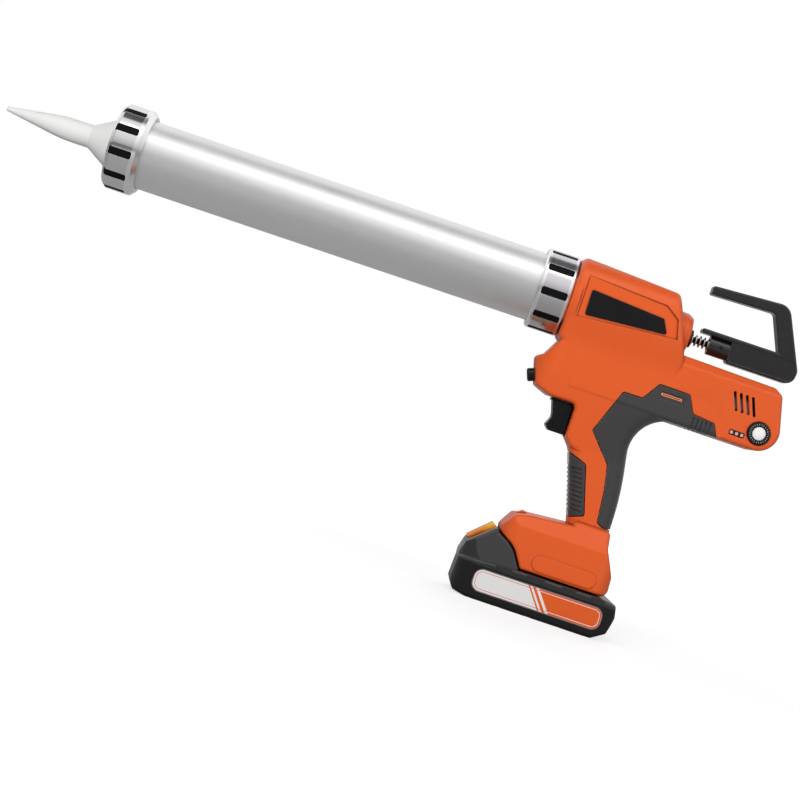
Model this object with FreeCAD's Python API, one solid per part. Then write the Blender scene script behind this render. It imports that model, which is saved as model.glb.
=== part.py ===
# Cordless caulking tool: barrel with nozzle, toothed push rod, geared drive,
# two-part housing with rubber grips, and a slide-on battery.
# Millimetres. +Z is up, the nozzle points to -X and the tool's left side faces -Y.
# The origin is the centre of the battery's flat underside.
import FreeCAD, Part
import math
import os

from FreeCAD import Vector

# Clearances shared by every fit
OVERRUN = 6.0            # how far a cutting tool passes the face it cuts
RUN_GAP = 0.05           # radial gap of a running fit
SLIDE_GAP = 0.4          # gap beside a part that slides or turns in plastic
SEAM_GAP = 0.3           # gap between the battery and the foot above it
FORM_TOLERANCE = 0.01    # how closely a grown form follows its exact surface

# Barrel, its two screw collars and the nozzle
BARREL_AXIS_HEIGHT = 233.0
BARREL_OD = 52.0
BARREL_WALL = 1.0
BARREL_LENGTH = 340.0
BARREL_REAR_X = -53.0
BARREL_RING_OD = 56.0    # raised ring that the rear collar pulls on
BARREL_RING_LENGTH = 13.0
FRONT_COLLAR_OD = 65.0
FRONT_COLLAR_LENGTH = 25.0
FRONT_COLLAR_LIP = 4.5   # wall in front of the nozzle's flange
FRONT_COLLAR_CHAMFER = 3.4
REAR_COLLAR_OD = 61.0
REAR_COLLAR_LENGTH = 25.5
REAR_COLLAR_LIP = 2.7
REAR_COLLAR_CHAMFER = 1.6
COLLAR_GRIP_WIDTH = 5.8
COLLAR_GRIP_ROUND = 1.4
COLLAR_GRIP_DEPTH = 2.4
COLLAR_GRIP_SINK = 0.35  # the black inserts lie this far below the metal
FRONT_GRIP_COUNT = 11
FRONT_GRIP_LENGTH = 19.0
FRONT_GRIP_TURN = 12.0   # degrees from the left side down to the nearest insert
REAR_GRIP_COUNT = 10
REAR_GRIP_LENGTH = 19.8
REAR_GRIP_TURN = 5.0
NOZZLE_FLANGE_THICKNESS = 3.0
NOZZLE_WALL = 1.6
NOZZLE_CONE_RADIUS = 22.6
NOZZLE_CONE_LENGTH = 23.0
NOZZLE_SHANK_RADIUS = 8.75
NOZZLE_SHANK_LENGTH = 21.0
NOZZLE_TAPER_LENGTH = 45.0
NOZZLE_TAPER_SWELL = 110.0  # radius of the soft bend where the taper starts
NOZZLE_TIP_RADIUS = 1.7
NOZZLE_OUTLET_RADIUS = 0.9

# Barrel seat that carries the barrel on the housing
SEAT_SPIGOT_LENGTH = 12.0
SEAT_WALL = 4.0
SEAT_NECK_RADIUS = 24.0
SEAT_FLANGE_RADIUS = 26.3
SEAT_FLANGE_THICKNESS = 5.0

# Push rod, piston and pull hook
ROD_RADIUS = 4.5
ROD_TRAVEL = 290.0
ROD_SCREW_DEPTH = 16.0
ROD_REAR_X = 78.0
TOOTH_MODULE = 1.0
TOOTH_BACKLASH = 0.24
PISTON_RADIUS = 24.4
PISTON_THICKNESS = 12.0
PISTON_RIM = 3.0
PISTON_FRONT_GAP = 7.0   # from the piston's face to the nozzle's flange at rest
PISTON_SCREW_RADIUS = 2.0
PISTON_SCREW_HEAD_RADIUS = 5.0
PISTON_SCREW_HEAD = 3.5
BUSH_WALL = 2.2
FRONT_BUSH_LENGTH = 26.0
REAR_BUSH_LENGTH = 14.0
BUSH_FLANGE = 1.6
HOOK_X = 56.2
HOOK_LENGTH = 80.0
HOOK_HEIGHT = 55.0
HOOK_BOTTOM_HEIGHT = 223.7
HOOK_THICKNESS = 15.0
HOOK_ROUND = 1.4
HOOK_PANEL_DEPTH = 0.7
HOOK_NECK_RADIUS = 7.4
HOOK_NECK_FRONT_X = 66.5
HOOK_PIN_RADIUS = 1.5
HOOK_PIN_SINK = 1.0      # the pin's ends lie this far below the neck's surface

# Housing: one box that its outlines are shares of, and the form's own sizes
CORE_X = -53.4           # front of the nose
CORE_FLOOR = 76.0        # where the handle meets the foot
CORE_LENGTH = 193.0
CORE_HEIGHT = 149.5
WALL = 2.5
ARM_HALF_WIDTH = 23.5
ARM_ROUND = 3.5
HANDLE_HALF_WIDTH = 17.5
HANDLE_ROUND = 11.0
NOSE_ROUND = 3.4
NOSE_PLAN_ROUND = 19.0
HEAD_HALF_WIDTH = 29.5
HEAD_SHOULDER = 22.0
HEAD_KNEE_ROUND = 40.0
HEAD_ROUND = 5.0
FLANGE_RADIUS = 31.0
FLANGE_LENGTH = 6.0
FOOT_HALF_WIDTH = 34.0
FOOT_TOP_HALF_WIDTH = 25.0
FOOT_ROUND = 3.2
FOOT_FRONT_PLAN_ROUND = 16.0
FOOT_REAR_PLAN_ROUND = 13.0
FOOT_PAD_PROUD = 0.9
FOOT_PAD_ROUND = 0.8
FOOT_NUB_HALF_WIDTH = 7.0
PARTING_WIDTH = 0.4      # fine groove where the two shells meet
PARTING_DEPTH = 0.5
BOSS_RADIUS = 18.8
BOSS_END_RADIUS = 15.0
BOSS_TIP_RADIUS = 7.5
BOSS_REAR_X = 51.6
HEAD_FRONT_X = -43.0

# Rubber grips, name plates and trim let into the housing
GRIP_DEPTH = 1.5
GRIP_GROOVE = 0.75
RIB_WIDTH = 1.5
RIB_PITCH = 3.3
RIB_DEPTH = 0.7
FINGER_RIB_COUNT = 10
PALM_RIB_COUNT = 5
PLATE_THICKNESS = 0.8
SCOOP_DEPTH = 2.2
PAD_WALL = 1.8           # wall left behind the name plates' pockets
HOLLOW_DEPTH = 0.9       # how far the arm's side is let in before its raised rear end
TRIM_SINK = 0.5
TRIM_HEIGHT = 2.0

# Drive
DRIVE_X = -3.0
RACK_PINION_TEETH = 14
TRANSFER_GEAR_TEETH = 31
TRANSFER_PINION_TEETH = 20
BEVEL_MODULE = 1.25
BEVEL_WHEEL_TEETH = 28
BEVEL_PINION_TEETH = 14
BEVEL_FACE = 6.0
BEVEL_BACKLASH = 0.34
GEAR_FACE = 7.0
RACK_PINION_FACE = 8.0
SHAFT_RADIUS = 4.0
BEARING_RADIUS = 8.0
BEARING_WIDTH = 5.0
BEARING_INNER_Y = 15.0
BEARING_WALL = 2.5
MOTOR_RADIUS = 18.0
MOTOR_LENGTH = 50.0
MOTOR_CAP_RADIUS = 9.0
MOTOR_CAP_LENGTH = 3.0
GEARBOX_RADIUS = 19.0
GEARBOX_LENGTH = 40.0
GEARBOX_X = 22.0
CRADLE_THICKNESS = 3.0

# Trigger, switch, front button
TRIGGER_HALF_WIDTH = 9.5
TRIGGER_TRAVEL = 6.0
TRIGGER_ROUND = 2.0
TRIGGER_STEM_RADIUS = 4.0
TRIGGER_STEM_LENGTH = 19.0
SWITCH_LENGTH = 26.0
SWITCH_HEIGHT = 25.0
SWITCH_HALF_WIDTH = 10.0
SWITCH_GAP = 8.0         # from the trigger's back to the switch
BUTTON_RADIUS = 5.0
BUTTON_PROUD = 5.0
BUTTON_LENGTH = 16.0
BUTTON_TRAVEL = 2.5
BUTTON_TILT = 20.7       # degrees below the barrel's direction
BUTTON_FLANGE = 1.5
BUTTON_BOSS_WALL = 3.0

# Speed dial, indicator and their board
DIAL_RADIUS = 8.4
DIAL_PROUD = 2.6
DIAL_CAP_RADIUS = 5.0
DIAL_CAP_PROUD = 0.5
DIAL_STEM_RADIUS = 3.0
DIAL_FLUTES = 30
DIAL_FLUTE_RADIUS = 0.5
POT_RADIUS = 7.5
POT_DEPTH = 5.0
BOARD_Y = -13.6
BOARD_THICKNESS = 1.4
LED_RADIUS = 1.3
LED_COUNT = 3
VENT_WIDTH = 2.3
VENT_ROUND = 0.9
VENT_COUNT = 4

# Housing screws
SCREW_RADIUS = 1.5
SCREW_HEAD_RADIUS = 2.9
SCREW_HEAD_HEIGHT = 2.4
SCREW_HEAD_Y = 12.0
SCREW_LENGTH = 22.0
SCREW_BOSS_RADIUS = 4.2

# Battery and the rail that it slides on
BATTERY_LENGTH = 123.6
BATTERY_HALF_WIDTH = 37.0
BATTERY_HEIGHT = 30.4
BLOCK_HALF_WIDTH = 35.4  # front block above the tray, at its foot
BLOCK_TOP_HALF_WIDTH = 30.0
NOTCH_DEPTH = 0.9        # shallow notches along the tray's upper edge
NICK_COUNT = 5           # nicks along the tray's lower edge
NICK_PITCH = 23.0
NICK_WIDTH = 4.0
NICK_HEIGHT = 1.2
NICK_DEPTH = 4.0
BATTERY_ROUND = 2.6
BATTERY_WALL = 2.0
BATTERY_SEAM_HEIGHT = 25.5
BATTERY_FRONT_PLAN_ROUND = 18.0
BATTERY_REAR_PLAN_ROUND = 8.0
RAIL_NECK_HALF_WIDTH = 18.0
RAIL_HEAD_HALF_WIDTH = 22.0
RAIL_HEAD_BOTTOM = 34.6
RAIL_TOP = 44.0
RAIL_REAR_X = 36.0
LABEL_SINK = 0.6
LABEL_THICKNESS = 0.45
CELL_RADIUS = 9.2
CELL_LENGTH = 65.0
CELL_PITCH = 19.0
CELL_COUNT = 5
RELEASE_HALF_WIDTH = 11.0
RELEASE_THICKNESS = 5.0
RELEASE_PROUD = 1.8
RELEASE_TRAVEL = 2.5
RELEASE_ROUND = 0.8
BLADE_THICKNESS = 0.8
BLADE_HEIGHT = 6.0
BLADE_LENGTH = 16.0
BLADE_SLOT_WIDTH = 2.4
BLADE_PITCH = 9.0
BLADE_COUNT = 3
TERMINAL_LENGTH = 9.0
TERMINAL_HALF_WIDTH = 16.0
TERMINAL_TOP = 50.0

# Places and sizes that follow from the values above
BARREL_FRONT_X = BARREL_REAR_X - BARREL_LENGTH
BARREL_RADIUS = BARREL_OD / 2
BORE_RADIUS = BARREL_RADIUS - BARREL_WALL
RING_RADIUS = BARREL_RING_OD / 2
FLANGE_FACE_X = BARREL_FRONT_X - NOZZLE_FLANGE_THICKNESS
PISTON_FRONT_X = BARREL_FRONT_X + PISTON_FRONT_GAP
ROD_FRONT_X = PISTON_FRONT_X + PISTON_THICKNESS
TOOTH_PITCH = math.pi * TOOTH_MODULE
ADDENDUM = TOOTH_MODULE
ROOT_SHARE = 1.25        # depth of a tooth's root below the pitch line, in modules
TIP_SHARE = 0.95         # height of a spur tooth's tip above it
BEVEL_TIP_SHARE = 0.9
DEDENDUM = ROOT_SHARE * TOOTH_MODULE
PRESSURE_ANGLE = math.radians(20)
RACK_PINION_RADIUS = RACK_PINION_TEETH * TOOTH_MODULE / 2
PINION_SHAFT_HEIGHT = BARREL_AXIS_HEIGHT - (ROD_RADIUS - ADDENDUM) - RACK_PINION_RADIUS
TRANSFER_DISTANCE = (TRANSFER_GEAR_TEETH + TRANSFER_PINION_TEETH) * TOOTH_MODULE / 2
MOTOR_AXIS_HEIGHT = PINION_SHAFT_HEIGHT - TRANSFER_DISTANCE
MOTOR_X = GEARBOX_X + GEARBOX_LENGTH
BEVEL_WHEEL_RADIUS = BEVEL_WHEEL_TEETH * BEVEL_MODULE / 2
BEVEL_PINION_RADIUS = BEVEL_PINION_TEETH * BEVEL_MODULE / 2
FOOT_FLOOR_SHARE = -0.301
FOOT_FLOOR = CORE_FLOOR + FOOT_FLOOR_SHARE * CORE_HEIGHT

# Housing outlines: (length share, height share, corner radius share of the height)
ARM_SHARES = [(0.142, 0.966, 0), (0.142, 0.618, 0), (1.0, 0.618, 0.107),
              (0.941, 0.916, 0.030), (0.909, 0.945, 0.030)]
NOSE_SHARES = [(0.077, 0.993, 0), (0.072, 0.840, 0.033), (0.033, 0.748, 0.027), (0.0, 0.723, 0),
               (0.034, 0.585, 0), (0.092, 0.556, 0.053), (0.2045, 0.556, 0.0288), (0.2045, 0.392, 0),
               (0.232, 0.352, 0), (0.315, 0.312, 0), (0.420, 0.312, 0), (0.420, 0.993, 0)]
HANDLE_SHARES = [(0.204, 0.780, 0), (0.204, 0.390, 0), (0.237, 0.338, 0.060), (0.343, -0.104, 0),
                 (0.487, -0.104, 0), (0.486, 0.190, 1.60), (0.424, 0.621, 0.181),
                 (0.676, 0.623, 0), (0.676, 0.780, 0)]
HEAD_SHARES = [(0.054, 1.263, 0), (0.450, 1.234, 0), (0.545, 0.913, 0), (0.545, 0.790, 0),
               (0.110, 0.790, 0), (0.054, 0.850, 0)]
FOOT_SHARES = [(0.340, -0.015, 0), (0.165, -0.034, 0), (0.117, -0.052, 0), (0.078, -0.127, 0),
               (0.083, -0.160, 0), (0.147, -0.200, 0.130), (0.194, FOOT_FLOOR_SHARE, 0),
               (0.530, FOOT_FLOOR_SHARE, 0), (0.545, -0.270, 0), (0.539, -0.197, 0),
               (0.492, -0.075, 0.080), (0.484, 0.010, 0), (0.340, 0.010, 0)]
FLANK_KNEE_SHARES = (0.669, 0.348)       # heights where the sides start and stop drawing in
FLANK_KNEE_ROUND_SHARE = 0.40
ARM_BEVEL_SHARES = (0.910, 1.020)        # heights where the arm's top bevel starts and runs out
ARM_BEVEL_TOP_SHARE = 0.40               # half width left at the bevel's end
HEAD_FLANK_SHARES = (1.000, 0.850)       # heights where the head's sides draw in to the arm
HEAD_TOP_SHARE = 1.264
FOOT_SHOULDER_SHARE = -0.095
FOOT_PAD_SHARES = (0.230, 0.484, -0.284, -0.204)  # front, rear, lower and upper end of the side pads
FOOT_PAD_ROUND_SHARE = 0.48
FOOT_NUB_SHARES = [(0.119, -0.050, 0), (0.150, -0.025, 0), (0.164, -0.033, 0), (0.164, -0.060, 0),
                   (0.124, -0.080, 0)]
HOLLOW_SHARES = [(0.500, 0.760, 0), (0.600, 0.836, 0.100), (0.713, 0.825, 0.040), (0.765, 0.715, 0.060),
                 (0.785, 0.580, 0), (0.500, 0.580, 0)]
HOLLOW_FLOOR_SHARES = [(0.520, 0.700, 0), (0.615, 0.775, 0.100), (0.690, 0.775, 0.040), (0.743, 0.705, 0.060),
                       (0.765, 0.560, 0), (0.520, 0.560, 0)]
PALM_GRIP_SHARES = [(0.293, 0.460, 0.010), (0.357, 0.690, 0.013), (0.434, 0.690, 0.013),
                    (0.480, 0.782, 0.013), (0.603, 0.780, 0.013), (0.638, 0.694, 0.013),
                    (0.725, 0.684, 0.013), (0.756, 0.605, 0), (0.757, 0.540, 0),
                    (0.624, 0.498, 0), (0.572, 0.016, 0), (0.448, 0.016, 0.010),
                    (0.423, 0.034, 0.012), (0.410, 0.199, 0), (0.390, 0.321, 0.030)]
FINGER_GRIP_SHARES = [(0.150, 0.400, 0), (0.236, 0.328, 0), (0.315, 0.291, 0.020),
                      (0.372, 0.044, 0.012), (0.305, 0.009, 0), (0.150, 0.009, 0)]
SCOOP_SHARES = [(0.094, 1.178, 0), (0.411, 1.155, 0), (0.467, 1.105, 0), (0.487, 1.010, 0),
                (0.094, 0.965, 0)]
NAMEPLATE_SHARES = [(0.121, 1.113, 0.008), (0.414, 1.088, 0.008), (0.442, 1.018, 0.008),
                    (0.123, 0.985, 0.008)]
TRIM_SHARES = (0.497, 0.580, 0.737)      # front, rear and middle height of the grip's trim bar
TRIM_POCKET_SHARES = (0.492, 0.594, 0.712, 0.752)
PALM_RIB_SHARES = (0.640, 0.600, 0.678)  # first rib's place, lower and upper height
FINGER_RIB_SHARES = (0.237, 0.262)       # first rib's front place and height
VENT_SHARES = (0.760, 0.866, 0.788, 0.773)  # first vent's top place, height and bottom place, height
VENT_PITCH_SHARE = 0.0243
DIAL_SHARES = (0.896, 0.704)
LED_WINDOW_SHARES = (0.786, 0.848, 0.655, 0.683)
BOARD_SHARES = (0.770, 0.938, 0.644, 0.714)
BOARD_POST_SHARES = [(0.778, 0.648), (0.930, 0.648)]
BUTTON_SHARES = (0.020, 0.632)           # middle of the front button on the nose's face
TRIGGER_SHARES = [(0.092, 0.553, 0), (0.200, 0.553, 0.0288), (0.2035, 0.392, 0), (0.136, 0.392, 0.018),
                  (0.120, 0.415, 0.012), (0.136, 0.466, 0.040), (0.119, 0.538, 0.015)]
SCREW_SHARES = [(0.105, 0.755), (0.170, 1.185), (0.345, 1.185), (0.665, 0.652), (0.923, 0.860),
                (0.345, 0.250), (0.420, -0.045)]

# Battery outlines: (share of its length, share of its height, radius share)
TRAY_SHARES = [(-0.492, 0.930, 0), (-0.500, 0.260, 0), (-0.470, 0.060, 0), (-0.385, 0, 0), (0.390, 0, 0),
               (0.474, 0.214, 0), (0.500, 0.625, 0), (0.481, 0.940, 0), (0.380, 1.0, 0), (-0.200, 1.0, 0)]
BLOCK_FRONT_SHARES = [(-0.474, 1.290, 0), (-0.498, 0.960, 0), (-0.488, 0.500, 0)]
BLOCK_TAPER_SHARES = (0.95, 1.90)        # heights where the block's sides start and stop leaning in
NOTCH_SHARES = [(-0.275, -0.162), (-0.081, 0.040), (0.138, 0.235), (0.316, 0.413)]
NOTCH_HEIGHT_SHARES = (0.775, 1.050)
NOTCH_LEAN_SHARE = 0.012
RELEASE_SHARES = [(-0.340, 1.840), (-0.470, 1.330)]  # upper and lower end of the release button
LABEL_SHARES = (-0.375, 0.423, 0.207, 0.770)
LABEL_ROUND_SHARE = 0.055


def corner_arc(corners, i):
    """Start, middle and end of the tangent arc that rounds corner i (a, b, radius)."""
    a, b, radius = corners[i]
    here = Vector(a, b, 0)
    if not radius:
        return here, None, here
    following = corners[(i + 1) % len(corners)]
    before = Vector(corners[i - 1][0], corners[i - 1][1], 0) - here
    after = Vector(following[0], following[1], 0) - here
    half = before.getAngle(after) / 2
    before.normalize()
    after.normalize()
    reach = radius / math.tan(half)
    inwards = (before + after).normalize()
    middle = here + inwards * (radius / math.sin(half) - radius)
    return here + before * reach, middle, here + after * reach


def outline(corners, place):
    """Closed wire through rounded corners; place turns a plane point into a point in space."""
    arcs = [corner_arc(corners, i) for i in range(len(corners))]
    edges = []
    for i, (start, middle, end) in enumerate(arcs):
        if middle:
            edges.append(Part.Arc(place(start), place(middle), place(end)).toShape())
        following = arcs[(i + 1) % len(arcs)][0]
        if not following.isEqual(end, FORM_TOLERANCE):
            edges.append(Part.LineSegment(place(end), place(following)).toShape())
    return Part.Wire(edges)


def slab(corners, y0, y1):
    """Prism along Y of an (x, z, radius) outline."""
    face = Part.Face(outline(corners, lambda p: Vector(p.x, y0, p.y)))
    return face.extrude(Vector(0, y1 - y0, 0))


def bar(corners, x0, x1):
    """Prism along X of a (y, z, radius) outline."""
    face = Part.Face(outline(corners, lambda p: Vector(x0, p.x, p.y)))
    return face.extrude(Vector(x1 - x0, 0, 0))


def column(corners, z0, z1):
    """Prism along Z of an (x, y, radius) outline."""
    face = Part.Face(outline(corners, lambda p: Vector(p.x, p.y, z0)))
    return face.extrude(Vector(0, 0, z1 - z0))


def turned(profile, height=BARREL_AXIS_HEIGHT):
    """Solid turned about an X axis at this height from an (x, r) or (x, r, radius) profile."""
    corners = [(point + (0,))[:3] for point in profile]
    face = Part.Face(outline(corners, lambda p: Vector(p.x, 0, height + p.y)))
    return face.revolve(Vector(0, 0, height), Vector(1, 0, 0), 360)


def box(x0, x1, y0, y1, z0, z1):
    return Part.makeBox(x1 - x0, y1 - y0, z1 - z0, Vector(x0, y0, z0))


def rod_x(x0, x1, radius, height=BARREL_AXIS_HEIGHT):
    return Part.makeCylinder(radius, x1 - x0, Vector(x0, 0, height), Vector(1, 0, 0))


def rod_y(y0, y1, radius, x, z):
    return Part.makeCylinder(radius, y1 - y0, Vector(x, y0, z), Vector(0, 1, 0))


def inset(corners, depth):
    """The same outline with every side moved inwards by depth, arcs included."""
    count = len(corners)
    flat = [Vector(a, b, 0) for a, b, _ in corners]
    area = sum(flat[i - 1].x * flat[i].y - flat[i].x * flat[i - 1].y for i in range(count))
    side = math.copysign(1, area)
    moved = []
    for i in range(count):
        arriving = (flat[i] - flat[i - 1]).normalize()
        leaving = (flat[(i + 1) % count] - flat[i]).normalize()
        first = Vector(-arriving.y, arriving.x, 0) * side
        second = Vector(-leaving.y, leaving.x, 0) * side
        spot = flat[i] + (first + second) * (depth / (1 + first.dot(second)))
        radius = corners[i][2]
        if radius:
            convex = (arriving.x * leaving.y - arriving.y * leaving.x) * side > 0
            radius = max(radius - depth, 0) if convex else radius + depth
        moved.append((spot.x, spot.y, radius))
    return moved


def grown(core, reach):
    """The core with its faces moved outwards by reach and its outer edges rounded by it."""
    return core.makeOffsetShape(reach, FORM_TOLERANCE, join=0)


def joined(shapes):
    whole = shapes[0].multiFuse(shapes[1:])
    return whole.removeSplitter()


def on_core(shares):
    """Housing outline in millimetres from shares of the housing's box."""
    return [(CORE_X + a * CORE_LENGTH, CORE_FLOOR + b * CORE_HEIGHT, r * CORE_HEIGHT) for a, b, r in shares]


def core_x(share):
    return CORE_X + share * CORE_LENGTH


def core_z(share):
    return CORE_FLOOR + share * CORE_HEIGHT


def mirrored(shape):
    return shape.mirror(Vector(0, 0, 0), Vector(0, 1, 0))


def flank_section(half_width, top):
    """Section of arm, nose and handle: upright sides that draw in to the handle's width."""
    knee = FLANK_KNEE_ROUND_SHARE * CORE_HEIGHT
    upper, lower = (core_z(share) for share in FLANK_KNEE_SHARES)
    bottom = -CORE_HEIGHT
    right = [(half_width, top, 0), (half_width, upper, knee), (HANDLE_HALF_WIDTH, lower, knee),
             (HANDLE_HALF_WIDTH, bottom, 0)]
    left = [(-y, z, radius) for y, z, radius in reversed(right)]
    return right + left


def arm_core():
    """Arm behind the head, with its two top bevels."""
    bevel, run_out = (core_z(share) for share in ARM_BEVEL_SHARES)
    narrow = ARM_BEVEL_TOP_SHARE * ARM_HALF_WIDTH
    section = [(narrow, run_out, 0), (ARM_HALF_WIDTH, bevel, 0), (ARM_HALF_WIDTH, 0, 0),
               (-ARM_HALF_WIDTH, 0, 0), (-ARM_HALF_WIDTH, bevel, 0), (-narrow, run_out, 0)]
    side = slab(inset(on_core(ARM_SHARES), ARM_ROUND), -CORE_HEIGHT, CORE_HEIGHT)
    return side.common(bar(inset(section, ARM_ROUND), -CORE_LENGTH, CORE_LENGTH))


def nose_core():
    """Nose under the barrel, rounded in plan."""
    front = CORE_X
    rear = core_x(NOSE_SHARES[-1][0]) + CORE_LENGTH
    plan = [(front, -ARM_HALF_WIDTH, NOSE_PLAN_ROUND), (front, ARM_HALF_WIDTH, NOSE_PLAN_ROUND),
            (rear, ARM_HALF_WIDTH, 0), (rear, -ARM_HALF_WIDTH, 0)]
    side = slab(inset(on_core(NOSE_SHARES), NOSE_ROUND), -CORE_HEIGHT, CORE_HEIGHT)
    flank = flank_section(ARM_HALF_WIDTH, CORE_FLOOR + 2 * CORE_HEIGHT)
    side = side.common(bar(inset(flank, NOSE_ROUND), -CORE_LENGTH, CORE_LENGTH))
    return side.common(column(inset(plan, NOSE_ROUND), 0, CORE_FLOOR + 2 * CORE_HEIGHT))


def handle_core():
    """Handle with the curved web up to the arm."""
    side = slab(inset(on_core(HANDLE_SHARES), HANDLE_ROUND), -CORE_HEIGHT, CORE_HEIGHT)
    flank = flank_section(ARM_HALF_WIDTH, CORE_FLOOR + 2 * CORE_HEIGHT)
    return side.common(bar(inset(flank, HANDLE_ROUND), -CORE_LENGTH, CORE_LENGTH))


def head_core():
    """Head around the rod and the gears, with round shoulders."""
    upper, lower = (core_z(share) for share in HEAD_FLANK_SHARES)
    top = core_z(HEAD_TOP_SHARE)
    right = [(HEAD_HALF_WIDTH, top, HEAD_SHOULDER), (HEAD_HALF_WIDTH, upper, HEAD_KNEE_ROUND),
             (ARM_HALF_WIDTH, lower, HEAD_KNEE_ROUND), (ARM_HALF_WIDTH, 0, 0)]
    left = [(-y, z, radius) for y, z, radius in reversed(right)]
    side = slab(inset(on_core(HEAD_SHARES), HEAD_ROUND), -CORE_HEIGHT, CORE_HEIGHT)
    return side.common(bar(inset(right + left, HEAD_ROUND), -CORE_LENGTH, CORE_LENGTH))


def foot_core():
    """Foot that the battery slides into, with bevelled shoulders and rounded in plan."""
    shoulder = core_z(FOOT_SHOULDER_SHARE)
    top = core_z(0) + FOOT_ROUND
    section = [(FOOT_TOP_HALF_WIDTH, top, 0), (FOOT_HALF_WIDTH, shoulder, 0), (FOOT_HALF_WIDTH, 0, 0),
               (-FOOT_HALF_WIDTH, 0, 0), (-FOOT_HALF_WIDTH, shoulder, 0), (-FOOT_TOP_HALF_WIDTH, top, 0)]
    front = core_x(min(share[0] for share in FOOT_SHARES))
    rear = core_x(max(share[0] for share in FOOT_SHARES))
    plan = [(front, -FOOT_HALF_WIDTH, FOOT_FRONT_PLAN_ROUND), (front, FOOT_HALF_WIDTH, FOOT_FRONT_PLAN_ROUND),
            (rear, FOOT_HALF_WIDTH, FOOT_REAR_PLAN_ROUND), (rear, -FOOT_HALF_WIDTH, FOOT_REAR_PLAN_ROUND)]
    side = slab(inset(on_core(FOOT_SHARES), FOOT_ROUND), -CORE_HEIGHT, CORE_HEIGHT)
    side = side.common(bar(inset(section, FOOT_ROUND), -CORE_LENGTH, CORE_LENGTH))
    return side.common(column(inset(plan, FOOT_ROUND), 0, CORE_HEIGHT))


CORES = [(arm_core(), ARM_ROUND), (nose_core(), NOSE_ROUND), (handle_core(), HANDLE_ROUND),
         (head_core(), HEAD_ROUND), (foot_core(), FOOT_ROUND)]


def body_form(depth):
    """The housing's whole form, with its surface moved inwards by depth."""
    return [grown(core, rounding - depth) for core, rounding in CORES]


def front_flange():
    """Round end of the head that the rear collar closes on."""
    front = HEAD_FRONT_X
    rear = HEAD_FRONT_X + FLANGE_LENGTH
    return turned([(front, 0), (front, FLANGE_RADIUS - ARM_ROUND / 2), (front + ARM_ROUND, FLANGE_RADIUS),
                   (rear, FLANGE_RADIUS), (rear, 0)])


def rear_boss():
    """Boss behind the head that holds the rear rod bush."""
    root = core_x(HEAD_SHARES[1][0]) - BOSS_RADIUS / 2
    waist = BOSS_REAR_X - BUSH_FLANGE * 2
    return turned([(root, 0), (root, BOSS_RADIUS), (waist - BUSH_WALL, BOSS_RADIUS - BUSH_FLANGE),
                   (waist + BUSH_FLANGE, BOSS_END_RADIUS), (BOSS_REAR_X, BOSS_TIP_RADIUS), (BOSS_REAR_X, 0)])


def foot_pad():
    """Low rounded pad on the left side of the foot."""
    x0, x1 = (core_x(share) for share in FOOT_PAD_SHARES[:2])
    z0, z1 = (core_z(share) for share in FOOT_PAD_SHARES[2:])
    radius = FOOT_PAD_ROUND_SHARE * (z1 - z0)
    corners = [(x0, z0, radius), (x1, z0, radius), (x1, z1, radius), (x0, z1, radius)]
    core = slab(inset(corners, FOOT_PAD_ROUND), -FOOT_HALF_WIDTH - FOOT_PAD_PROUD + FOOT_PAD_ROUND,
                -FOOT_HALF_WIDTH + FOOT_PAD_ROUND)
    return grown(core, FOOT_PAD_ROUND)


def foot_nub():
    """Small wedge on top of the foot's front edge."""
    return slab(on_core(FOOT_NUB_SHARES), -FOOT_NUB_HALF_WIDTH, FOOT_NUB_HALF_WIDTH)


def arm_hollow():
    """Shallow hollow with sloping edges in the left side of the arm, before its raised rear end."""
    surface, floor = -ARM_HALF_WIDTH, -ARM_HALF_WIDTH + HOLLOW_DEPTH
    wires = [outline(on_core(shares), lambda p, y=y: Vector(p.x, y, p.y))
             for shares, y in ((HOLLOW_SHARES, surface), (HOLLOW_FLOOR_SHARES, floor))]
    return Part.makeLoft(wires, True, True)


def parting_groove():
    """Fine groove around the housing in the plane where its shells meet."""
    half = PARTING_WIDTH / 2
    reach = 2 * CORE_LENGTH
    slice_of_form = OUTER.common(box(-reach, reach, -half, half, -reach, reach))
    return slice_of_form.cut(body_form(PARTING_DEPTH) + [front_flange(), rear_boss()])


def cradle(x, radius):
    """Upright wall across the cavity with a round hole that carries the motor or the gearbox."""
    low = MOTOR_AXIS_HEIGHT - GEARBOX_RADIUS - ARM_HALF_WIDTH
    high = MOTOR_AXIS_HEIGHT + ARM_HALF_WIDTH
    wall = box(x, x + CRADLE_THICKNESS, -FOOT_HALF_WIDTH, FOOT_HALF_WIDTH, low, high)
    return wall.cut(rod_x(x - OVERRUN, x + CRADLE_THICKNESS + OVERRUN, radius, MOTOR_AXIS_HEIGHT))


def shaft_places():
    return [(DRIVE_X, MOTOR_AXIS_HEIGHT), (DRIVE_X, PINION_SHAFT_HEIGHT)]


def button_frame():
    """Middle of the front button on the nose's face, and the way it is pressed."""
    tilt = math.radians(BUTTON_TILT)
    press = Vector(math.cos(tilt), 0, math.sin(tilt))
    return Vector(core_x(BUTTON_SHARES[0]), 0, core_z(BUTTON_SHARES[1])), press


def button_cylinder(radius, start, length):
    """Cylinder on the front button's axis that starts this far behind the nose's face."""
    face, press = button_frame()
    return Part.makeCylinder(radius, length, face + press * start, press)


def screw_places():
    return [(core_x(a), core_z(b)) for a, b in SCREW_SHARES]


def switch_box():
    """Front, bottom and top of the switch behind the trigger."""
    front = core_x(TRIGGER_SHARES[2][0]) + SWITCH_GAP
    middle = core_z((TRIGGER_SHARES[1][1] + TRIGGER_SHARES[2][1]) / 2)
    return front, middle - SWITCH_HEIGHT / 2, middle + SWITCH_HEIGHT / 2


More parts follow.
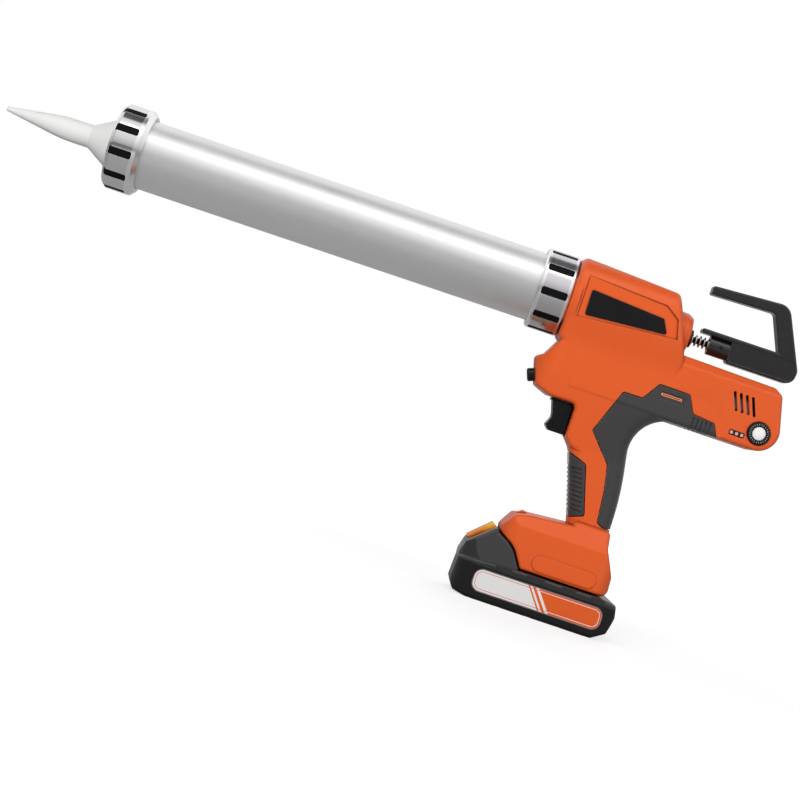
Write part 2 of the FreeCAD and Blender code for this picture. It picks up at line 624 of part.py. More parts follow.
def inner_supports():
    """Everything that stands inside the cavity and carries the inner pieces."""
    wide = FOOT_HALF_WIDTH
    seat_back = HEAD_FRONT_X + WALL + SEAT_FLANGE_THICKNESS
    ring = box(seat_back, seat_back + CRADLE_THICKNESS, -wide, wide, PINION_SHAFT_HEIGHT - BEARING_RADIUS,
               BARREL_AXIS_HEIGHT + wide)
    ring = ring.cut(rod_x(seat_back - OVERRUN, seat_back + 2 * OVERRUN, SEAT_NECK_RADIUS - SEAT_WALL))
    motor_front = MOTOR_X + CRADLE_THICKNESS
    motor_rear = MOTOR_X + MOTOR_LENGTH - 2 * CRADLE_THICKNESS
    gearbox_front = GEARBOX_X + CRADLE_THICKNESS
    supports = [ring, cradle(motor_front, MOTOR_RADIUS), cradle(motor_rear, MOTOR_RADIUS),
                cradle(gearbox_front, GEARBOX_RADIUS)]
    for x, z in shaft_places():
        for side in (-1, 1):
            near, far = sorted((side * BEARING_INNER_Y, side * wide))
            supports.append(rod_y(near, far, BEARING_RADIUS + BEARING_WALL, x, z))
    front, bottom, top = switch_box()
    for low, high in ((top, top + WALL), (bottom - WALL, bottom)):
        supports.append(box(front + WALL, front + SWITCH_LENGTH, -wide, wide, low, high))
    supports.append(button_cylinder(BUTTON_RADIUS + BUTTON_BOSS_WALL, -OVERRUN,
                                    OVERRUN + BUTTON_LENGTH - BUTTON_PROUD - BUTTON_FLANGE))
    for a, b in BOARD_POST_SHARES:
        supports.append(rod_y(-wide, BOARD_Y, 2 * LED_RADIUS, core_x(a), core_z(b)))
    for x, z in screw_places():
        supports.append(rod_y(-wide, wide, SCREW_BOSS_RADIUS, x, z))
    pad = slab(inset(on_core(SCOOP_SHARES), -WALL), -HEAD_HALF_WIDTH,
               -HEAD_HALF_WIDTH + SCOOP_DEPTH + PAD_WALL)
    supports += [pad, mirrored(pad)]
    rear = RAIL_REAR_X + SEAM_GAP
    supports.append(box(rear, rear + TERMINAL_LENGTH, -wide, wide, TERMINAL_TOP, TERMINAL_TOP + WALL))
    return supports


def trigger_corners():
    return on_core(TRIGGER_SHARES)


def dial_place():
    return core_x(DIAL_SHARES[0]), core_z(DIAL_SHARES[1])


def led_window_corners(margin):
    """The indicator window's outline, grown by margin."""
    x0, x1 = (core_x(share) for share in LED_WINDOW_SHARES[:2])
    z0, z1 = (core_z(share) for share in LED_WINDOW_SHARES[2:])
    square = [(x0, z0, LED_RADIUS), (x1, z0, LED_RADIUS), (x1, z1, LED_RADIUS), (x0, z1, LED_RADIUS)]
    return inset(square, -margin)


def vent_cutters():
    """Slanted slots through the arm's sides beside the motor."""
    x_top, z_top, x_low, z_low = VENT_SHARES
    lean = (x_low - x_top) * CORE_LENGTH
    cutters = []
    for i in range(VENT_COUNT):
        x = core_x(x_top + i * VENT_PITCH_SHARE)
        half = VENT_WIDTH / 2
        corners = [(x - half, core_z(z_top), VENT_ROUND), (x + half, core_z(z_top), VENT_ROUND),
                   (x + lean + half, core_z(z_low), VENT_ROUND), (x + lean - half, core_z(z_low), VENT_ROUND)]
        cutters.append(slab(corners, -FOOT_HALF_WIDTH, FOOT_HALF_WIDTH))
    return cutters


def scoop_cutter():
    """Flat shallow pocket on the left side of the head, for the name plate."""
    floor_y = -HEAD_HALF_WIDTH + SCOOP_DEPTH
    return slab(on_core(SCOOP_SHARES), -2 * HEAD_HALF_WIDTH, floor_y)


def rail_opening():
    """Channel in the foot's floor and cavity that the battery's rail slides along."""
    front = CORE_X - CORE_LENGTH
    rear = RAIL_REAR_X + SEAM_GAP
    neck = box(front, rear, -RAIL_NECK_HALF_WIDTH - SLIDE_GAP, RAIL_NECK_HALF_WIDTH + SLIDE_GAP, 0,
               RAIL_HEAD_BOTTOM)
    low = RAIL_HEAD_BOTTOM - SLIDE_GAP
    head = box(front, rear, -RAIL_HEAD_HALF_WIDTH - SLIDE_GAP, RAIL_HEAD_HALF_WIDTH + SLIDE_GAP, low,
               RAIL_TOP + SLIDE_GAP)
    return [neck, head]


def grip_skin(shares, depth, margin):
    """The outer layer of handle and arm inside an outline: from the surface down to depth."""
    corners = inset(on_core(shares), margin)
    field = slab(corners, -CORE_HEIGHT, CORE_HEIGHT)
    return OUTER.common(field).cut(body_form(depth))


def palm_ribs():
    """Upright grooves near the rear end of the palm grip."""
    first, low, high = PALM_RIB_SHARES
    cutters = []
    for i in range(PALM_RIB_COUNT):
        x = core_x(first) + i * RIB_PITCH
        cutters.append(box(x, x + RIB_WIDTH, -CORE_HEIGHT, CORE_HEIGHT, core_z(low), core_z(high)))
    return cutters


def finger_ribs():
    """Level grooves across the front of the finger grip."""
    x, z = core_x(FINGER_RIB_SHARES[0]), core_z(FINGER_RIB_SHARES[1])
    reach = HANDLE_ROUND + WALL
    front = on_core(HANDLE_SHARES)[2:4]
    lean = (front[1][0] - front[0][0]) / (front[1][1] - front[0][1])
    cutters = []
    for i in range(FINGER_RIB_COUNT):
        low = z - i * RIB_PITCH
        start = x + lean * (low - z)
        cutters.append(box(start - reach, start + reach, -CORE_HEIGHT, CORE_HEIGHT, low - RIB_WIDTH, low))
    return cutters


def ribbed(skin, cutters):
    """Cut shallow grooves into the outside of a grip."""
    shallow = OUTER.cut(body_form(RIB_DEPTH))
    return skin.cut(shallow.common(Part.makeCompound(cutters)))


def halves(shape):
    """Left (-Y) and right (+Y) half of a shape."""
    reach = 2 * CORE_LENGTH
    right_side = box(-reach, reach, 0, reach, -reach, reach)
    left_side = box(-reach, reach, -reach, 0, -reach, reach)
    return shape.common(left_side), shape.common(right_side)


def both_sides(shape):
    """Left half of a shape that is alike on both sides, and its mirror image."""
    left = halves(shape)[0]
    return left, mirrored(left)


OUTER = joined(body_form(0) + [front_flange(), rear_boss(), foot_pad(), mirrored(foot_pad()), foot_nub()])
PALM_POCKET = grip_skin(PALM_GRIP_SHARES, GRIP_DEPTH, 0)
FINGER_POCKET = grip_skin(FINGER_GRIP_SHARES, GRIP_DEPTH, 0)


def housing():
    """Both housing shells: outer form less the cavity, with every opening cut."""
    inside = body_form(WALL)
    cavity = inside[0].multiFuse(inside[1:]).cut(inner_supports())
    shell = OUTER.cut(cavity).cut([PALM_POCKET, FINGER_POCKET])
    neck = SEAT_NECK_RADIUS
    x, z = dial_place()
    wide = FOOT_HALF_WIDTH
    corners = trigger_corners()
    top = max(corner[1] for corner in corners) + SLIDE_GAP
    bottom = min(corner[1] for corner in corners) - SLIDE_GAP
    trigger_back = core_x(TRIGGER_SHARES[2][0])
    front, low, high = switch_box()
    cutters = rail_opening() + vent_cutters() + [
        rod_x(HEAD_FRONT_X - OVERRUN, HEAD_FRONT_X + WALL + OVERRUN / 2, neck),
        rod_x(core_x(HEAD_SHARES[1][0]) - 2 * BOSS_RADIUS, BOSS_REAR_X + OVERRUN,
              ROD_RADIUS + RUN_GAP + BUSH_WALL),
        box(core_x(HANDLE_SHARES[1][0]) - OVERRUN, trigger_back + SWITCH_GAP, -TRIGGER_HALF_WIDTH - SLIDE_GAP,
            TRIGGER_HALF_WIDTH + SLIDE_GAP, bottom, top),
        box(front, front + SWITCH_LENGTH, -SWITCH_HALF_WIDTH, SWITCH_HALF_WIDTH, low, high),
        rod_y(-wide, -ARM_HALF_WIDTH / 2 - WALL, DIAL_RADIUS + SLIDE_GAP, x, z),
        slab(led_window_corners(0), -wide, BOARD_Y),
        rod_x(HEAD_FRONT_X + WALL, HEAD_FRONT_X + WALL + SEAT_FLANGE_THICKNESS, SEAT_FLANGE_RADIUS),
        board_box(SLIDE_GAP),
        button_cylinder(BUTTON_RADIUS + SLIDE_GAP / 2, -OVERRUN, 2 * BUTTON_LENGTH),
        scoop_cutter(), mirrored(scoop_cutter()), arm_hollow(), mirrored(arm_hollow()), parting_groove()]
    for x, z in shaft_places():
        for side in (-1, 1):
            near, far = sorted((side * BEARING_INNER_Y, side * (BEARING_INNER_Y + BEARING_WIDTH)))
            cutters.append(rod_y(near, far, BEARING_RADIUS, x, z))
    for x, z in screw_places():
        cutters.append(rod_y(SCREW_HEAD_Y - SCREW_LENGTH, SCREW_HEAD_Y, SCREW_RADIUS, x, z))
        cutters.append(rod_y(SCREW_HEAD_Y, wide + OVERRUN, SCREW_HEAD_RADIUS + SLIDE_GAP, x, z))
    return halves(shell.cut(cutters))


def nozzle():
    cone_x = FLANGE_FACE_X - NOZZLE_CONE_LENGTH
    shank_x = cone_x - NOZZLE_SHANK_LENGTH
    tip_x = shank_x - NOZZLE_TAPER_LENGTH
    inner_shank = NOZZLE_SHANK_RADIUS - NOZZLE_WALL
    inner_cone = NOZZLE_CONE_RADIUS - NOZZLE_WALL
    return turned([
        (BARREL_FRONT_X, inner_cone), (BARREL_FRONT_X, BARREL_RADIUS), (FLANGE_FACE_X, BARREL_RADIUS),
        (FLANGE_FACE_X, NOZZLE_CONE_RADIUS), (cone_x, NOZZLE_SHANK_RADIUS),
        (shank_x, NOZZLE_SHANK_RADIUS, NOZZLE_TAPER_SWELL), (tip_x, NOZZLE_TIP_RADIUS),
        (tip_x, NOZZLE_OUTLET_RADIUS), (shank_x, inner_shank), (cone_x, inner_shank),
        (FLANGE_FACE_X, inner_cone)])


def grip_slot(x0, x1, radius, depth, turn):
    """Radial pocket with rounded corners, from depth below the collar's surface outwards."""
    half = COLLAR_GRIP_WIDTH / 2
    corners = [(x0, -half, COLLAR_GRIP_ROUND), (x1, -half, COLLAR_GRIP_ROUND), (x1, half, COLLAR_GRIP_ROUND),
               (x0, half, COLLAR_GRIP_ROUND)]
    bottom = radius - depth
    pocket = column(corners, bottom, radius + OVERRUN)
    pocket.rotate(Vector(0, 0, 0), Vector(1, 0, 0), 90 + turn)
    pocket.translate(Vector(0, 0, BARREL_AXIS_HEIGHT))
    return pocket


def grip_slots(x0, x1, radius, depth, count, turn):
    return [grip_slot(x0, x1, radius, depth, turn + i * 360 / count) for i in range(count)]


def front_collar_blank(sink=0):
    """The collar without its slots; sink moves its outside inwards."""
    front = FLANGE_FACE_X - FRONT_COLLAR_LIP
    rear = front + FRONT_COLLAR_LENGTH
    radius = FRONT_COLLAR_OD / 2 - sink
    bore = BARREL_RADIUS + SLIDE_GAP
    rise = (NOZZLE_CONE_RADIUS - NOZZLE_SHANK_RADIUS) / NOZZLE_CONE_LENGTH
    mouth = NOZZLE_CONE_RADIUS + SLIDE_GAP
    lip = mouth - rise * FRONT_COLLAR_LIP
    shy = radius - FRONT_COLLAR_CHAMFER
    return turned([(front, lip), (front, shy), (front + FRONT_COLLAR_CHAMFER, radius),
                   (rear - FRONT_COLLAR_CHAMFER, radius), (rear, shy), (rear, bore), (FLANGE_FACE_X, bore),
                   (FLANGE_FACE_X, mouth)])


def front_grip_tools(depth):
    front = FLANGE_FACE_X - FRONT_COLLAR_LIP
    return grip_slots(front - OVERRUN, front + FRONT_GRIP_LENGTH, FRONT_COLLAR_OD / 2, depth,
                      FRONT_GRIP_COUNT, FRONT_GRIP_TURN)


def front_collar():
    return front_collar_blank().cut(front_grip_tools(COLLAR_GRIP_DEPTH))


def inserts(blank, tools):
    """The black inserts: what each slot takes from a slightly smaller collar."""
    return Part.makeCompound([blank.common(tool) for tool in tools])


def front_collar_grips():
    return inserts(front_collar_blank(COLLAR_GRIP_SINK), front_grip_tools(COLLAR_GRIP_DEPTH))


def barrel_tube():
    ring_front = BARREL_REAR_X - BARREL_RING_LENGTH
    return turned([(BARREL_FRONT_X, BORE_RADIUS), (BARREL_FRONT_X, BARREL_RADIUS),
                   (ring_front, BARREL_RADIUS), (ring_front, RING_RADIUS), (BARREL_REAR_X, RING_RADIUS),
                   (BARREL_REAR_X, BORE_RADIUS)])


def rear_collar_blank(sink=0):
    """The collar without its slots; sink moves its outside inwards."""
    front = BARREL_REAR_X - BARREL_RING_LENGTH - REAR_COLLAR_LIP
    rear = front + REAR_COLLAR_LENGTH
    radius = REAR_COLLAR_OD / 2 - sink
    shy = radius - REAR_COLLAR_CHAMFER
    step = BARREL_REAR_X - BARREL_RING_LENGTH
    return turned([(front, BARREL_RADIUS + SLIDE_GAP), (front, shy), (front + REAR_COLLAR_CHAMFER, radius),
                   (rear - REAR_COLLAR_CHAMFER, radius), (rear, shy), (rear, RING_RADIUS + SLIDE_GAP),
                   (step, RING_RADIUS + SLIDE_GAP), (step, BARREL_RADIUS + SLIDE_GAP)])


def rear_grip_tools(depth):
    middle = BARREL_REAR_X - BARREL_RING_LENGTH - REAR_COLLAR_LIP + REAR_COLLAR_LENGTH / 2
    return grip_slots(middle - REAR_GRIP_LENGTH / 2, middle + REAR_GRIP_LENGTH / 2, REAR_COLLAR_OD / 2, depth,
                      REAR_GRIP_COUNT, REAR_GRIP_TURN)


REAR_GRIP_DEPTH = (REAR_COLLAR_OD - BARREL_RING_OD) / 2 - SLIDE_GAP - BARREL_WALL


def rear_collar():
    return rear_collar_blank().cut(rear_grip_tools(REAR_GRIP_DEPTH))


def rear_collar_grips():
    return inserts(rear_collar_blank(COLLAR_GRIP_SINK), rear_grip_tools(REAR_GRIP_DEPTH))


def barrel_seat():
    """Spigot inside the barrel, threaded rim for the rear collar, neck and flange inside the housing."""
    spigot = BARREL_REAR_X - SEAT_SPIGOT_LENGTH
    neck_end = HEAD_FRONT_X + WALL
    back = neck_end + SEAT_FLANGE_THICKNESS
    bore = ROD_RADIUS + RUN_GAP + BUSH_WALL
    fit = BORE_RADIUS - SLIDE_GAP
    return turned([(spigot, bore), (spigot, fit), (BARREL_REAR_X, fit), (BARREL_REAR_X, RING_RADIUS),
                   (HEAD_FRONT_X, RING_RADIUS), (HEAD_FRONT_X, SEAT_NECK_RADIUS), (neck_end, SEAT_NECK_RADIUS),
                   (neck_end, SEAT_FLANGE_RADIUS), (back, SEAT_FLANGE_RADIUS), (back, bore)])


def rod_bush_front():
    front = BARREL_REAR_X - SEAT_SPIGOT_LENGTH
    bore = ROD_RADIUS + RUN_GAP
    return rod_x(front, front + FRONT_BUSH_LENGTH, bore + BUSH_WALL).cut(
        rod_x(front - OVERRUN, front + FRONT_BUSH_LENGTH + OVERRUN, bore))


def rod_bush_rear():
    bore = ROD_RADIUS + RUN_GAP
    outer = bore + BUSH_WALL
    front = BOSS_REAR_X - REAR_BUSH_LENGTH
    return turned([(front, bore), (front, outer), (BOSS_REAR_X, outer), (BOSS_REAR_X + BUSH_FLANGE, outer),
                   (BOSS_REAR_X + BUSH_FLANGE, bore)])


def rack_rod():
    """Round rod whose ring-shaped teeth form a rack that the pinion drives from below."""
    root = ROD_RADIUS - ADDENDUM - DEDENDUM
    flank = (ADDENDUM + DEDENDUM) * math.tan(PRESSURE_ANGLE)
    half_pitch_line = (TOOTH_PITCH - TOOTH_BACKLASH / 2) / 4
    half_crest = half_pitch_line - ADDENDUM * math.tan(PRESSURE_ANGLE)
    back_teeth = math.ceil((ROD_TRAVEL + RACK_PINION_RADIUS) / TOOTH_PITCH)
    front_teeth = math.floor((HOOK_NECK_FRONT_X - DRIVE_X) / TOOTH_PITCH)
    profile = [(ROD_FRONT_X, 0), (ROD_FRONT_X, ROD_RADIUS)]
    for i in range(-back_teeth, front_teeth + 1):
        crest = DRIVE_X + i * TOOTH_PITCH
        profile += [(crest - half_crest - flank, root), (crest - half_crest, ROD_RADIUS),
                    (crest + half_crest, ROD_RADIUS), (crest + half_crest + flank, root)]
    profile.pop(2)  # the plain front of the rod runs straight into the first crest
    neck = ROD_RADIUS - ADDENDUM
    profile += [(HOOK_NECK_FRONT_X, root), (HOOK_NECK_FRONT_X, neck), (ROD_REAR_X, neck), (ROD_REAR_X, 0)]
    hole = rod_x(ROD_FRONT_X - OVERRUN, ROD_FRONT_X + ROD_SCREW_DEPTH, PISTON_SCREW_RADIUS)
    return turned(profile).cut([hole, hook_pin_cylinder(OVERRUN)])


def piston():
    front = PISTON_FRONT_X
    rear = ROD_FRONT_X
    rim = PISTON_RADIUS - PISTON_RIM
    recess = rear - PISTON_THICKNESS / 2
    seat = front + PISTON_SCREW_HEAD
    return turned([(seat, PISTON_SCREW_RADIUS), (seat, PISTON_SCREW_HEAD_RADIUS),
                   (front, PISTON_SCREW_HEAD_RADIUS), (front, rim), (front + PISTON_RIM, PISTON_RADIUS),
                   (rear, PISTON_RADIUS), (rear, rim), (recess, rim), (recess, 2 * ROD_RADIUS),
                   (rear, 2 * ROD_RADIUS), (rear, PISTON_SCREW_RADIUS)])


def piston_screw():
    front = PISTON_FRONT_X + BARREL_WALL
    under = PISTON_FRONT_X + PISTON_SCREW_HEAD
    return turned([(front, 0), (front, PISTON_SCREW_HEAD_RADIUS), (under, PISTON_SCREW_HEAD_RADIUS),
                   (under, PISTON_SCREW_RADIUS), (ROD_FRONT_X + ROD_SCREW_DEPTH, PISTON_SCREW_RADIUS),
                   (ROD_FRONT_X + ROD_SCREW_DEPTH, 0)])


# Pull hook outline: shares of its length and height, from the top bar's end clockwise
HOOK_SHARES = [(0.0, 0.945, 0), (0.7315, 1.011, 0.13), (0.990, 0.195, 0.10),
               (0.975, 0.0, 0.09), (0.320, 0.0, 0.03), (0.320, 0.293, 0), (0.029, 0.293, 0),
               (0.029, 0.360, 0), (0.765, 0.360, 0), (0.620, 0.850, 0.05), (0.0, 0.822, 0)]
HOOK_PANEL_SHARES = [(0.335, 0.030, 0.03), (0.960, 0.030, 0.05), (0.945, 0.310, 0.05), (0.335, 0.310, 0.03)]
HOOK_PIN_SHARE = 0.24


def hook_corners(shares):
    return [(HOOK_X + a * HOOK_LENGTH, HOOK_BOTTOM_HEIGHT + b * HOOK_HEIGHT, r * HOOK_LENGTH)
            for a, b, r in shares]


def hook_pin_cylinder(beyond):
    """Cross pin through neck and rod that ends this far beyond the neck's surface."""
    half = HOOK_NECK_RADIUS + beyond
    return rod_y(-half, half, HOOK_PIN_RADIUS, HOOK_X + HOOK_PIN_SHARE * HOOK_LENGTH, BARREL_AXIS_HEIGHT)


def pull_hook():
    """C-shaped hook that pulls the rod back and hangs the tool up."""
    half = HOOK_THICKNESS / 2
    core = slab(inset(hook_corners(HOOK_SHARES), HOOK_ROUND), -half + HOOK_ROUND, half - HOOK_ROUND)
    frame = grown(core, HOOK_ROUND)
    rear = HOOK_X + HOOK_SHARES[4][0] * HOOK_LENGTH + HOOK_ROUND * 3
    whole = joined([frame, rod_x(HOOK_NECK_FRONT_X, rear, HOOK_NECK_RADIUS)])
    panel = slab(hook_corners(HOOK_PANEL_SHARES), half - HOOK_PANEL_DEPTH, half + OVERRUN)
    socket = rod_x(HOOK_NECK_FRONT_X - OVERRUN, ROD_REAR_X, ROD_RADIUS - ADDENDUM)
    return whole.cut([panel, mirrored(panel), socket, hook_pin_cylinder(OVERRUN)])


def hook_pin():
    return hook_pin_cylinder(-HOOK_PIN_SINK)


def involute(angle):
    return math.tan(angle) - angle


def half_tooth(radius, pitch_radius, teeth, backlash):
    """Half of a tooth's angle at this radius, for an involute flank."""
    base = pitch_radius * math.cos(PRESSURE_ANGLE)
    at_pitch = math.pi / (2 * teeth) - backlash / (4 * pitch_radius)
    return at_pitch + involute(PRESSURE_ANGLE) - involute(math.acos(min(1, base / max(radius, base))))


FLANK_STEP_SHARES = (0.0, 0.3, 0.65, 1.0)


def gear_points(teeth, module, turn):
    """Outline of a spur gear as (a, b, 0) corners, with one tooth centred at turn degrees."""
    pitch_radius = teeth * module / 2
    root = pitch_radius - ROOT_SHARE * module
    tip = pitch_radius + TIP_SHARE * module
    start = max(root, pitch_radius * math.cos(PRESSURE_ANGLE))
    levels = [start + share * (tip - start) for share in FLANK_STEP_SHARES]
    corners = []
    for i in range(teeth):
        middle = math.radians(turn) + 2 * math.pi * i / teeth
        rising = [(radius, -half_tooth(radius, pitch_radius, teeth, TOOTH_BACKLASH)) for radius in levels]
        if root < start:
            rising.insert(0, (root, rising[0][1]))
        falling = [(radius, -angle) for radius, angle in reversed(rising)]
        for radius, angle in rising + falling:
            corners.append((radius * math.cos(middle + angle), radius * math.sin(middle + angle), 0))
    return corners


def spur_gear(teeth, turn, y0, y1, z):
    corners = [(DRIVE_X + a, z + b, r) for a, b, r in gear_points(teeth, TOOTH_MODULE, turn)]
    return slab(corners, y0, y1).cut(rod_y(y0 - OVERRUN, y1 + OVERRUN, SHAFT_RADIUS, DRIVE_X, z))


def rack_pinion():
    turn = 90 + 180 / RACK_PINION_TEETH
    half = RACK_PINION_FACE / 2
    return spur_gear(RACK_PINION_TEETH, turn, -half, half, PINION_SHAFT_HEIGHT)


def transfer_gear():
    rear = BEARING_INNER_Y - SLIDE_GAP
    return spur_gear(TRANSFER_GEAR_TEETH, -90, rear - GEAR_FACE, rear, PINION_SHAFT_HEIGHT)


def transfer_pinion():
    turn = 90 + 180 / TRANSFER_PINION_TEETH
    rear = BEARING_INNER_Y - SLIDE_GAP
    return spur_gear(TRANSFER_PINION_TEETH, turn, rear - GEAR_FACE, rear, MOTOR_AXIS_HEIGHT)


def bevel_corners(teeth, radius, mate_radius, turn):
    """Bevel tooth outline on the plane through the pitch circle, seen along the gear's axis."""
    cone = math.atan2(radius, mate_radius)
    virtual_radius = radius / math.cos(cone)
    virtual_teeth = teeth / math.cos(cone)
    depth = ROOT_SHARE + BEVEL_TIP_SHARE
    heights = [(share * depth - ROOT_SHARE) * BEVEL_MODULE for share in FLANK_STEP_SHARES]
    rising = []
    for height in heights:
        reach = radius + height * math.cos(cone)
        axial = mate_radius - height * math.sin(cone)
        angle = half_tooth(virtual_radius + height, virtual_radius, virtual_teeth, BEVEL_BACKLASH)
        arc = angle * (virtual_radius + height) / reach
        rising.append((mate_radius * reach / axial, -arc))
    falling = [(reach, -arc) for reach, arc in reversed(rising)]
    corners = []
    for i in range(teeth):
        middle = math.radians(turn) + 2 * math.pi * i / teeth
        for reach, arc in rising + falling:
            corners.append((reach * math.cos(middle + arc), reach * math.sin(middle + arc), 0))
    return corners


BEVEL_REACH_SHARES = (0.55, 1.2)


def bevel_teeth(teeth, radius, mate_radius, turn, place):
    """Pyramid with every tooth on it, running towards the point where the two axes cross."""
    corners = bevel_corners(teeth, radius, mate_radius, turn)
    wires = []
    for share in BEVEL_REACH_SHARES:
        scaled = [(a * share, b * share, 0) for a, b, _ in corners]
        wires.append(outline(scaled, lambda p, depth=mate_radius * share: place(depth, p.x, p.y)))
    return Part.makeLoft(wires, True, True)


def bevel_gear(teeth, radius, mate_radius, turn, hub, place):
    """Bevel gear: teeth between two cones of a turned blank, closed by its hub."""
    distance = math.hypot(radius, mate_radius)
    along = (mate_radius / distance, radius / distance)
    across = (-along[1], along[0])

    def spot(reach, height):
        return (reach * along[0] + height * across[0], reach * along[1] + height * across[1])
    tip, root = BEVEL_MODULE, -ROOT_SHARE * BEVEL_MODULE
    inner_root, inner_tip = spot(distance - BEVEL_FACE, root), spot(distance - BEVEL_FACE, tip)
    outer_tip, outer_root = spot(distance, tip), spot(distance, root)
    back = outer_root[0] + hub
    points = [(inner_root[0], 0), inner_root, inner_tip, outer_tip, outer_root, (back, outer_root[1]),
              (back, 0)]
    face = Part.Face(outline([point + (0,) for point in points], lambda p: place(p.x, p.y, 0)))
    origin = place(0, 0, 0)
    axis = place(1, 0, 0) - origin
    toothed = face.revolve(origin, axis, 360).common(bevel_teeth(teeth, radius, mate_radius, turn, place))
    body = Part.makeCylinder(outer_root[1], hub, place(outer_root[0], 0, 0), axis)
    return joined([toothed, body])


def wheel_place(depth, a, b):
    return Vector(DRIVE_X + a, -depth, MOTOR_AXIS_HEIGHT + b)


def pinion_place(depth, a, b):
    return Vector(DRIVE_X + depth, a, MOTOR_AXIS_HEIGHT + b)


BEVEL_HUB = BEARING_INNER_Y - SLIDE_GAP - (BEVEL_PINION_RADIUS + ROOT_SHARE * BEVEL_MODULE * math.sin(
    math.atan2(BEVEL_WHEEL_RADIUS, BEVEL_PINION_RADIUS)))


def bevel_wheel():
    wheel = bevel_gear(BEVEL_WHEEL_TEETH, BEVEL_WHEEL_RADIUS, BEVEL_PINION_RADIUS, 0, BEVEL_HUB, wheel_place)
    return wheel.cut(rod_y(-BEARING_INNER_Y, 0, SHAFT_RADIUS, DRIVE_X, MOTOR_AXIS_HEIGHT))


def bevel_pinion():
    """Bevel pinion with its shaft, which turns in the gearbox's nose."""
    turn = 180 / BEVEL_PINION_TEETH
    distance = math.hypot(BEVEL_WHEEL_RADIUS, BEVEL_PINION_RADIUS)
    drop = ROOT_SHARE * BEVEL_MODULE * BEVEL_PINION_RADIUS / distance
    hub = GEARBOX_X - SLIDE_GAP - (DRIVE_X + BEVEL_WHEEL_RADIUS + drop)
    pinion = bevel_gear(BEVEL_PINION_TEETH, BEVEL_PINION_RADIUS, BEVEL_WHEEL_RADIUS, turn, hub, pinion_place)
    shaft = rod_x(GEARBOX_X - SLIDE_GAP, GEARBOX_X + GEARBOX_LENGTH / 3, SHAFT_RADIUS, MOTOR_AXIS_HEIGHT)
    return joined([pinion, shaft])


def cross_shaft():
    end = BEARING_INNER_Y + BEARING_WIDTH
    return rod_y(-end, end, SHAFT_RADIUS, DRIVE_X, MOTOR_AXIS_HEIGHT)


def pinion_shaft():
    end = BEARING_INNER_Y + BEARING_WIDTH
    return rod_y(-end, end, SHAFT_RADIUS, DRIVE_X, PINION_SHAFT_HEIGHT)


def shaft_bearings():
    rings = []
    for x, z in shaft_places():
        for side in (-1, 1):
            near, far = sorted((side * BEARING_INNER_Y, side * (BEARING_INNER_Y + BEARING_WIDTH)))
            ring = rod_y(near, far, BEARING_RADIUS, x, z)
            rings.append(ring.cut(rod_y(near - OVERRUN, far + OVERRUN, SHAFT_RADIUS + RUN_GAP, x, z)))
    return Part.makeCompound(rings)


def gearbox():
    """Sealed planetary gearbox: round case with a bored nose for the bevel pinion's shaft."""
    step = GEARBOX_X + WALL
    case = turned([(GEARBOX_X, 0), (GEARBOX_X, BEARING_RADIUS), (step, BEARING_RADIUS), (step, GEARBOX_RADIUS),
                   (MOTOR_X, GEARBOX_RADIUS), (MOTOR_X, 0)], MOTOR_AXIS_HEIGHT)
    bore_end = GEARBOX_X + GEARBOX_LENGTH / 3 + SLIDE_GAP
    return case.cut(rod_x(GEARBOX_X - OVERRUN, bore_end, SHAFT_RADIUS + RUN_GAP, MOTOR_AXIS_HEIGHT))


def motor():
    rear = MOTOR_X + MOTOR_LENGTH
    shoulder = MOTOR_RADIUS - MOTOR_CAP_LENGTH
    return turned([(MOTOR_X, 0), (MOTOR_X, MOTOR_RADIUS), (rear - MOTOR_CAP_LENGTH, MOTOR_RADIUS),
                   (rear, shoulder), (rear, MOTOR_CAP_RADIUS), (rear + MOTOR_CAP_LENGTH, MOTOR_CAP_RADIUS),
                   (rear + MOTOR_CAP_LENGTH, 0)], MOTOR_AXIS_HEIGHT)


def trigger():
    """Trigger with the stem that slides in the switch."""
    core = slab(inset(trigger_corners(), TRIGGER_ROUND / 2), -TRIGGER_HALF_WIDTH + TRIGGER_ROUND / 2,
                TRIGGER_HALF_WIDTH - TRIGGER_ROUND / 2)
    body = grown(core, TRIGGER_ROUND / 2)
    back = core_x(TRIGGER_SHARES[2][0])
    _, low, high = switch_box()
    stem = rod_x(back - TRIGGER_ROUND, back + TRIGGER_STEM_LENGTH, TRIGGER_STEM_RADIUS, (low + high) / 2)
    return joined([body, stem])


def trigger_switch():
    front, low, high = switch_box()
    body = box(front, front + SWITCH_LENGTH, -SWITCH_HALF_WIDTH, SWITCH_HALF_WIDTH, low, high)
    back = core_x(TRIGGER_SHARES[2][0])
    bore_end = back + TRIGGER_STEM_LENGTH + TRIGGER_TRAVEL + SLIDE_GAP
    return body.cut(rod_x(front - OVERRUN, bore_end, TRIGGER_STEM_RADIUS + RUN_GAP, (low + high) / 2))


def front_button():
    """Push button in the nose, kept in by a flange behind its guide."""
    stem = button_cylinder(BUTTON_RADIUS, -BUTTON_PROUD, BUTTON_LENGTH)
    stem = stem.makeChamfer(BUTTON_FLANGE / 2, [stem.Edges[0], stem.Edges[2]])
    flange = button_cylinder(BUTTON_RADIUS + BUTTON_FLANGE, BUTTON_LENGTH - BUTTON_PROUD - BUTTON_FLANGE,
                             BUTTON_FLANGE)
    return joined([stem, flange])


